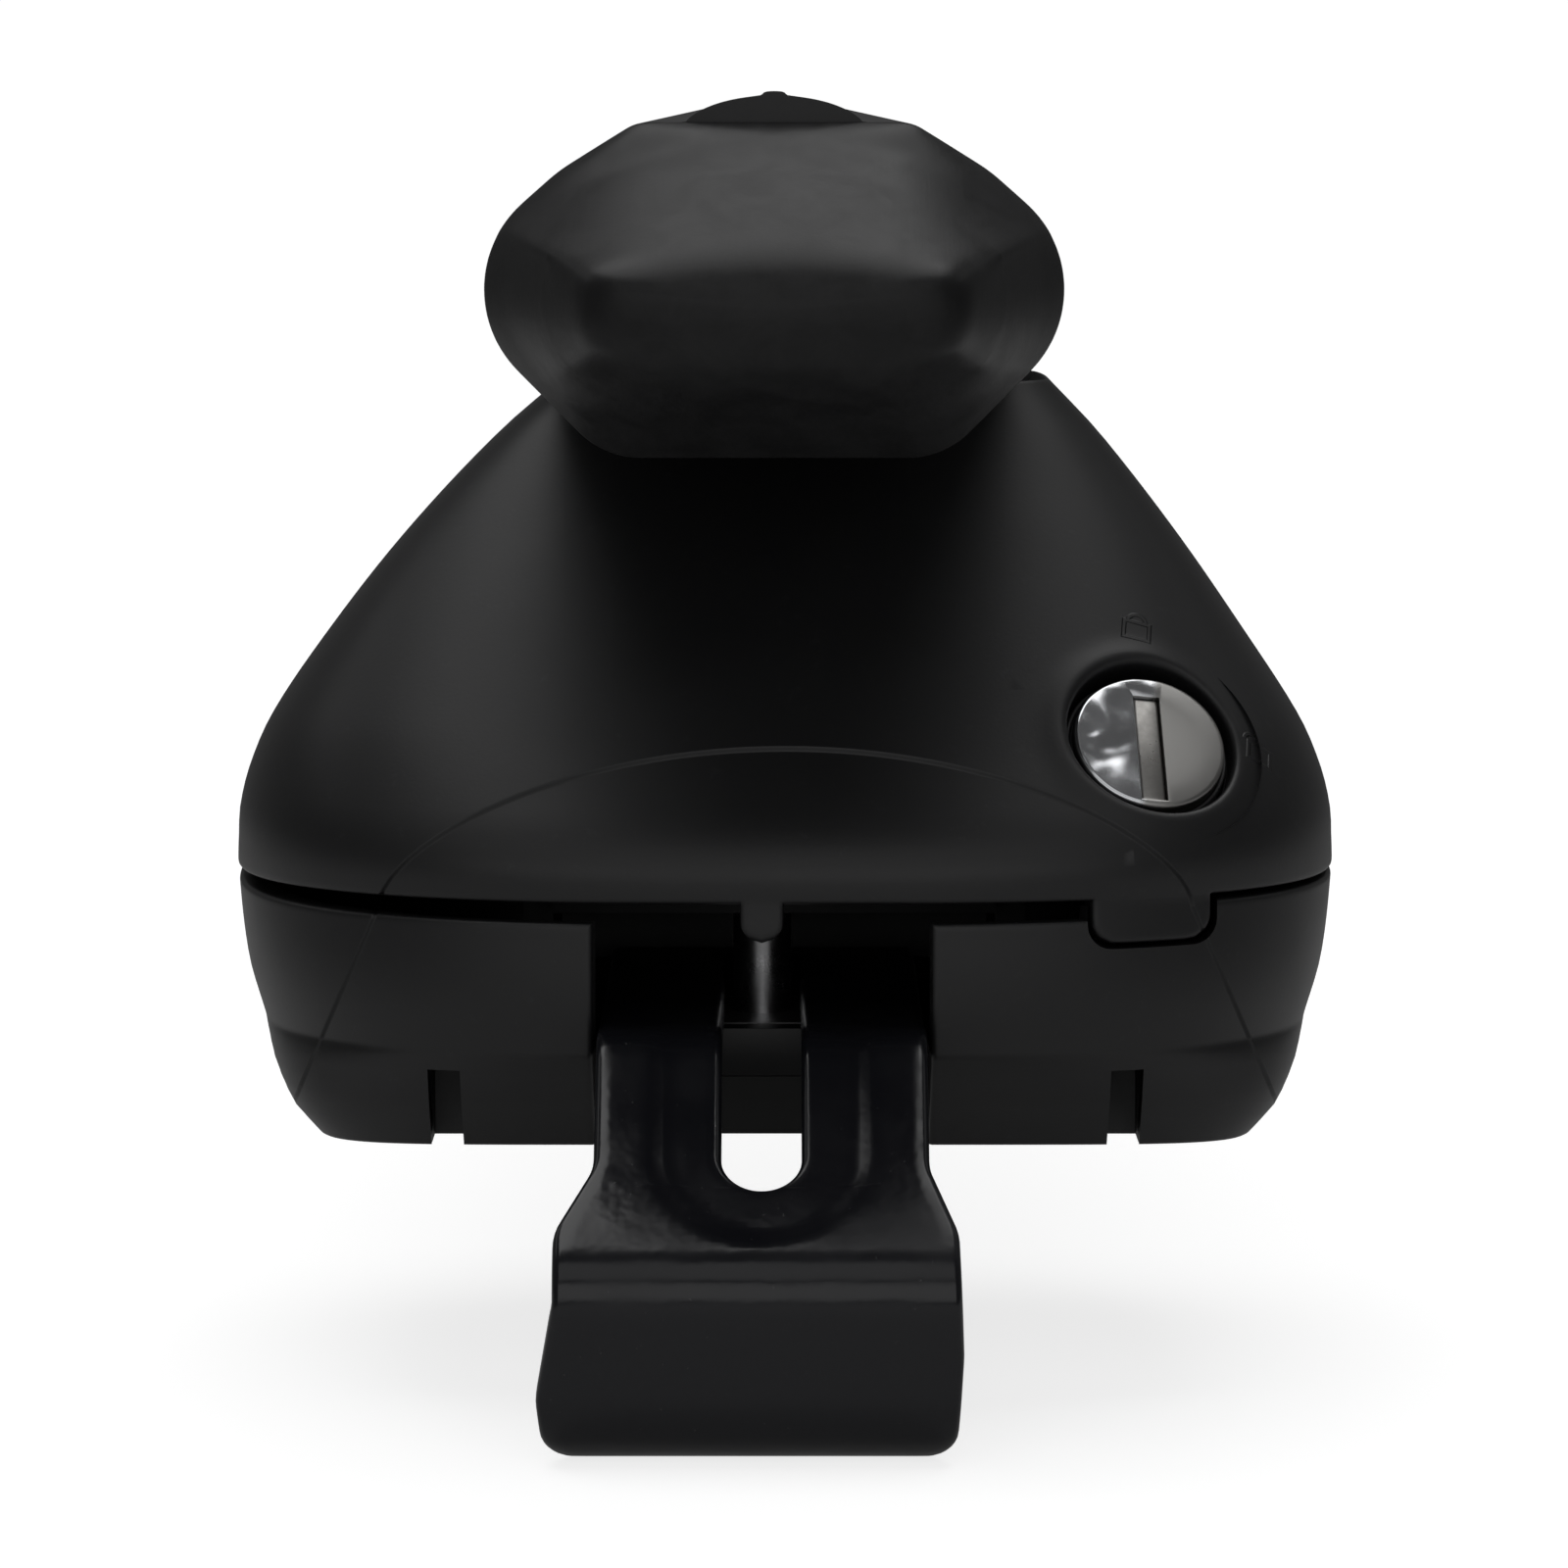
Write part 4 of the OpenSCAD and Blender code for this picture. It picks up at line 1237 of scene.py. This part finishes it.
def footPlastic():
    # satin black moulding with a fine spark grain and a shallow arched step across its front
    made = Finish("footPlastic", (0.008, 0.008, 0.0085), 0.42, specular=0.46)
    point = made.point()
    dust = made.noise(point, 520, 4, 0.7).between(0.62, 0.78)
    made.give({
        "Roughness": made.noise(point, 38, 3).between(0.3, 0.7, 0.40, 0.47),
        "Base Color": dust.colours((0.008, 0.008, 0.0086), (0.016, 0.016, 0.017)),
    })
    grain = made.noise(point, 2600, 2)
    made.raised((archStep(made), 1.0, 0.0005), (padlocks(made), 1.0, 0.00018), (grain, 0.16, 0.00005))
    return made.material


def capPlastic():
    # softer black of the end caps, mottled, with fine rubbed marks and specks of dust
    made = Finish("capPlastic", (0.013, 0.013, 0.0135), 0.4, specular=0.21)
    point = made.point()
    mottle, broad = made.noise(point, 210, 4, 0.65, 0.6), made.noise(point, 60, 2)
    streak = made.noise(made.point((1, 0.05, 0.05)), 2400, 2)
    blotch = mottle.between(0.38, 0.62, 0.0, 0.7) + broad.between(0.35, 0.65, 0.0, 0.3)
    scratch = made.noise(made.point((1, 0.06, 0.06)), 900, 2).between(0.70, 0.76) * broad.between(0.5, 0.62)
    worn = blotch.colours((0.012, 0.012, 0.0125), (0.0195, 0.0195, 0.02))
    worn = (scratch * 0.5).colours(worn, (0.035, 0.035, 0.036))
    made.give({
        "Roughness": blotch.between(0, 1, 0.34, 0.44),
        "Base Color": made.dots(point, 95, 0.05).colours(worn, (0.3, 0.3, 0.29)),
    })
    made.raised((streak * 0.4 + mottle, 0.3, 0.00007), (made.noise(point, 2600, 2), 0.12, 0.00005))
    return made.material


def hookCoating():
    # glossy blue-black coating over pressed steel, with orange peel, dust and small chips
    made = Finish("hookCoating", (0.0055, 0.0058, 0.008), 0.16, specular=0.42)
    point = made.point()
    dust, chips = made.noise(point, 1500, 3, 0.7), made.dots(point, 120, 0.07)
    speck = dust.between(0.71, 0.75).most(chips * 2.2) * 0.6
    made.give({
        "Base Color": speck.colours((0.0085, 0.0088, 0.0112), (0.13, 0.13, 0.125)),
        "Roughness": made.noise(point, 90, 4).between(0.35, 0.7, 0.13, 0.27),
    })
    made.raised((made.noise(point, 330, 2) + made.noise(point, 70, 2) * 2.2, 0.22, 0.00022))
    return made.material


def rubber(name, colour, scale):
    made = Finish(name, colour, 0.68)
    point = made.point()
    cloud = made.noise(point, scale, 4, 0.6)
    lighter = tuple(c * 1.7 for c in colour)
    made.give({
        "Base Color": cloud.between(0.35, 0.7).colours(colour, lighter),
        "Roughness": cloud.between(0.3, 0.7, 0.6, 0.75),
    })
    made.raised((made.noise(point, 1900, 3), 0.2, 0.00006))
    return made.material


def anodised():
    # the bar: black anodised extrusion with die lines along its length
    made = Finish("barCoating", (0.018, 0.018, 0.0195), 0.34, 0.6)
    lines = made.noise(made.point((1, 0.004, 1)), 900, 4, 0.6)
    cloud = made.noise(made.point(), 24, 3)
    made.give({
        "Base Color": lines.between(0.35, 0.65).colours((0.016, 0.016, 0.0175), (0.026, 0.026, 0.028)),
        "Roughness": cloud.between(0.3, 0.7, 0.31, 0.41),
    })
    made.raised((lines, 0.12, 0.00004))
    return made.material


def plated(name, colour, roughness, scale):
    made = Finish(name, colour, roughness, 1.0)
    point = made.point()
    cloud = made.noise(point, scale, 5, 0.65)
    darker = tuple(c * 0.72 for c in colour)
    made.give({
        "Base Color": cloud.between(0.32, 0.68).colours(darker, colour),
        "Roughness": cloud.between(0.3, 0.7, roughness * 1.25, roughness * 0.85),
    })
    made.raised((made.noise(point, scale * 9, 3), 0.15, 0.00005))
    return made.material


def plugSteel():
    # face of the lock: one half satin, its colour darkened with painted shade, the other half polished and
    # slightly dished
    made = Finish("plugSteel", (0.62, 0.61, 0.6), 0.22, 1.0)
    point = made.drawn("lock")
    x, y, z = point.parts()
    satinAndPaintedShade = (x + y * -0.16).between(-0.5, 0.3)
    # the satin half's darker colour is painted shade: it is the same steel as the polished half
    made.give({
        "Base Color": satinAndPaintedShade.colours((0.66, 0.67, 0.69), (0.31, 0.305, 0.295)),
        "Roughness": satinAndPaintedShade.between(0, 1, 0.16, 0.34),
    })
    # the dish starts level with the satin half, so that no step shows between them
    into = (y * 0.16 - (x + 0.4)).most(0.0)
    wave = made.noise(point, 0.2, 1, 0.4, 0.4)
    ripple = (wave - 0.5 + y * y * 0.008) * into.between(0, 2.8, smooth=True)
    brush = made.noise(point.placed(Scale=(1, 14, 1)), 5, 3)
    made.raised((ripple + into * (into - 6.5) * 0.02, 0.6, 0.0011), (brush, 0.05, 0.00004))
    return made.material


finishes = {
    "foot": footPlastic(),
    "cap": capPlastic(),
    "hook": hookCoating(),
    "padRubber": rubber("padRubber", (0.0095, 0.0095, 0.0095), 240),
    "stripRubber": rubber("stripRubber", (0.022, 0.022, 0.0225), 180),
    "bar": anodised(),
    "coated": rubber("coatedSteel", (0.008, 0.008, 0.0085), 160),
    "plated": plated("platedSteel", (0.42, 0.42, 0.43), 0.34, 300),
    "fastener": plated("fastenerSteel", (0.5, 0.5, 0.51), 0.28, 420),
    "plug": plugSteel(),
    "shutter": plated("shutterSteel", (0.36, 0.35, 0.335), 0.3, 500),
    "lockBody": rubber("lockBody", (0.02, 0.02, 0.021), 300),
}
print("materials made")


# Pieces, each placed on both feet
def noted(obj, name, frameMatrix):
    # keeps where each point lies in the piece's own drawing, for its material
    layer = obj.data.attributes.new(name, "FLOAT_VECTOR", "POINT")
    values = []
    for v in obj.data.vertices:
        values += list(frameMatrix @ v.co)
    layer.data.foreach_set("vector", values)
    return obj


def placed(obj, node, body, finish, sharp, name=None):
    obj.data.materials.clear()
    obj.data.materials.append(finishes[finish])
    smoothed(obj, sharp)
    for side in sides:
        copy = linked(f"{side}_{name or node}_piece", obj.data.copy())
        copy.data.transform(footMatrix(side))
        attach(copy, body.replace("SIDE", side))
        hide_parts(f"{side}_{node}")
    bpy.data.objects.remove(obj)


same, fromLock = Matrix.Identity(4), lockFrame.inverted()
cover = noted(noted(coverShell(), "foot", same), "lock", fromLock)
base = noted(joined(baseShell(), baseFloor()), "foot", same)
placed(cover, "cover", "SIDE_cover", "foot", 50)
placed(base, "base", "crossbar", "foot", 32)
placed(hookPlate(), "clamp_hook", "SIDE_clamp", "hook", 60)
placed(hookLining(), "hook_pad", "SIDE_clamp", "padRubber", 50)
placed(noted(lockPlug(), "lock", fromLock), "lock_plug", "SIDE_lock", "plug", 40)
placed(keyShutter(), "key_shutter", "SIDE_lock", "shutter", 60)
placed(lockBarrel(), "lock_barrel", "SIDE_cover", "lockBody", 40)
placed(capBody(), "end_cap", "crossbar", "cap", 50, "cap")
print("feet and caps placed")

strip = stripBody()
strip.data.transform(Matrix.Scale(mm, 4))
strip.data.materials.append(finishes["stripRubber"])
smoothed(strip, 30)
strip.name = "strip_piece"
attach(strip, "crossbar")
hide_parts("slot_strip")

kept = {
    "bar": ["bar"],
    "padRubber": ["foot_pad", "bar_saddle"],
    "coated": ["tower", "bridge_plate"],
    "fastener": ["bar_bolts", "bar_nuts", "tower_screws", "cam_screw", "clamp_screw", "screw_washer"],
    "plated": ["barrel_nut", "lock_cam", "nut_plate"],
}
finishOf = {name: finish for finish, names in kept.items() for name in names}
for name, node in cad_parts.items():
    plain = name.split("_", 1)[1] if name.startswith(("left_", "right_")) else name
    if plain in finishOf:
        node.data.materials.clear()
        node.data.materials.append(finishes[finishOf[plain]])
        for polygon in node.data.polygons:
            polygon.use_smooth = True
        node.data.set_sharp_from_angle(angle=math.radians(30))
print("cad nodes finished")


# Camera, floor and light
camera = linked("camera", bpy.data.cameras.new("camera"))
camera.location = (0, -1.2, 0.1247 + hookDrop * mm)
camera.rotation_euler = (math.radians(90 - 5.93), 0, 0)
camera.data.sensor_width = 36
camera.data.lens = 152.7
camera.data.shift_x = 0.00625
bpy.context.scene.camera = camera
bpy.context.scene.view_settings.view_transform = "Standard"

# a white floor that curves up behind into a backdrop
rise = 1.2
bends = [math.radians(6 * k) for k in range(16)]
curve = [(3 + rise * math.sin(a), rise * (1 - math.cos(a))) for a in bends]
curve = [(-8, 0)] + curve + [(3 + rise, 5)]
sweepVerts = [(x, y, z) for y, z in curve for x in (-7, 7)]
sweepFaces = [(2 * k, 2 * k + 1, 2 * k + 3, 2 * k + 2) for k in range(len(curve) - 1)]
sweep = meshObject("sweep", sweepVerts, sweepFaces)
for polygon in sweep.data.polygons:
    polygon.use_smooth = True
paper = Finish("paper", (0.5, 0.5, 0.5), 0.8, specular=0.1)
seen, glossy, through = paper.outputs(
    "ShaderNodeLightPath", {}, "Is Camera Ray", "Is Glossy Ray", "Is Transmission Ray")
across, along, up = paper.point().parts()
near = abs(across).between(0.2, 0.5, 1.0, 0.0, smooth=True) * along.between(-0.35, 0.1, 1.0, 0.0, smooth=True)
shown = seen * along.between(-0.45, 0.1, 0.78, 1.0, smooth=True)
paper.give({
    "Base Color": near.colours((0.14, 0.14, 0.14), (0.5, 0.5, 0.5)),
    "Emission Color": (1, 1, 1),
    "Emission Strength": shown + glossy.most(through) * 0.1,
})
sweep.data.materials.append(paper.material)

world = bpy.data.worlds.new("studio")
bpy.context.scene.world = world
world.use_nodes = True
world.node_tree.nodes["Background"].inputs["Color"].default_value = (1, 1, 1, 1)
world.node_tree.nodes["Background"].inputs["Strength"].default_value = 0.09


def softbox(name, at, toward, size, power):
    light = linked(name, bpy.data.lights.new(name, "AREA"))
    light.data.shape = "RECTANGLE"
    light.data.size, light.data.size_y = size
    light.data.energy = power
    light.location = at
    light.rotation_euler = (Vector(toward) - Vector(at)).to_track_quat("-Z", "Y").to_euler()


softbox("overhead", (-0.05, -0.28, 1.3), (0, -0.45, 0), (1.35, 1.15), 9.5)
softbox("leftSide", (-1.1, -0.1, 1.0), (0, -0.5, 0.08), (0.8, 0.35), 0.45)
softbox("rightSide", (1.1, -0.1, 1.0), (0, -0.5, 0.08), (0.8, 0.35), 0.25)
softbox("front", (0, -2.3, 0.5), (0, -0.5, 0.08), (2.6, 0.8), 5)
softbox("frontHigh", (0, -1.6, 1.1), (0, -0.5, 0.08), (1.8, 0.7), 2.2)
print("camera and lights set")
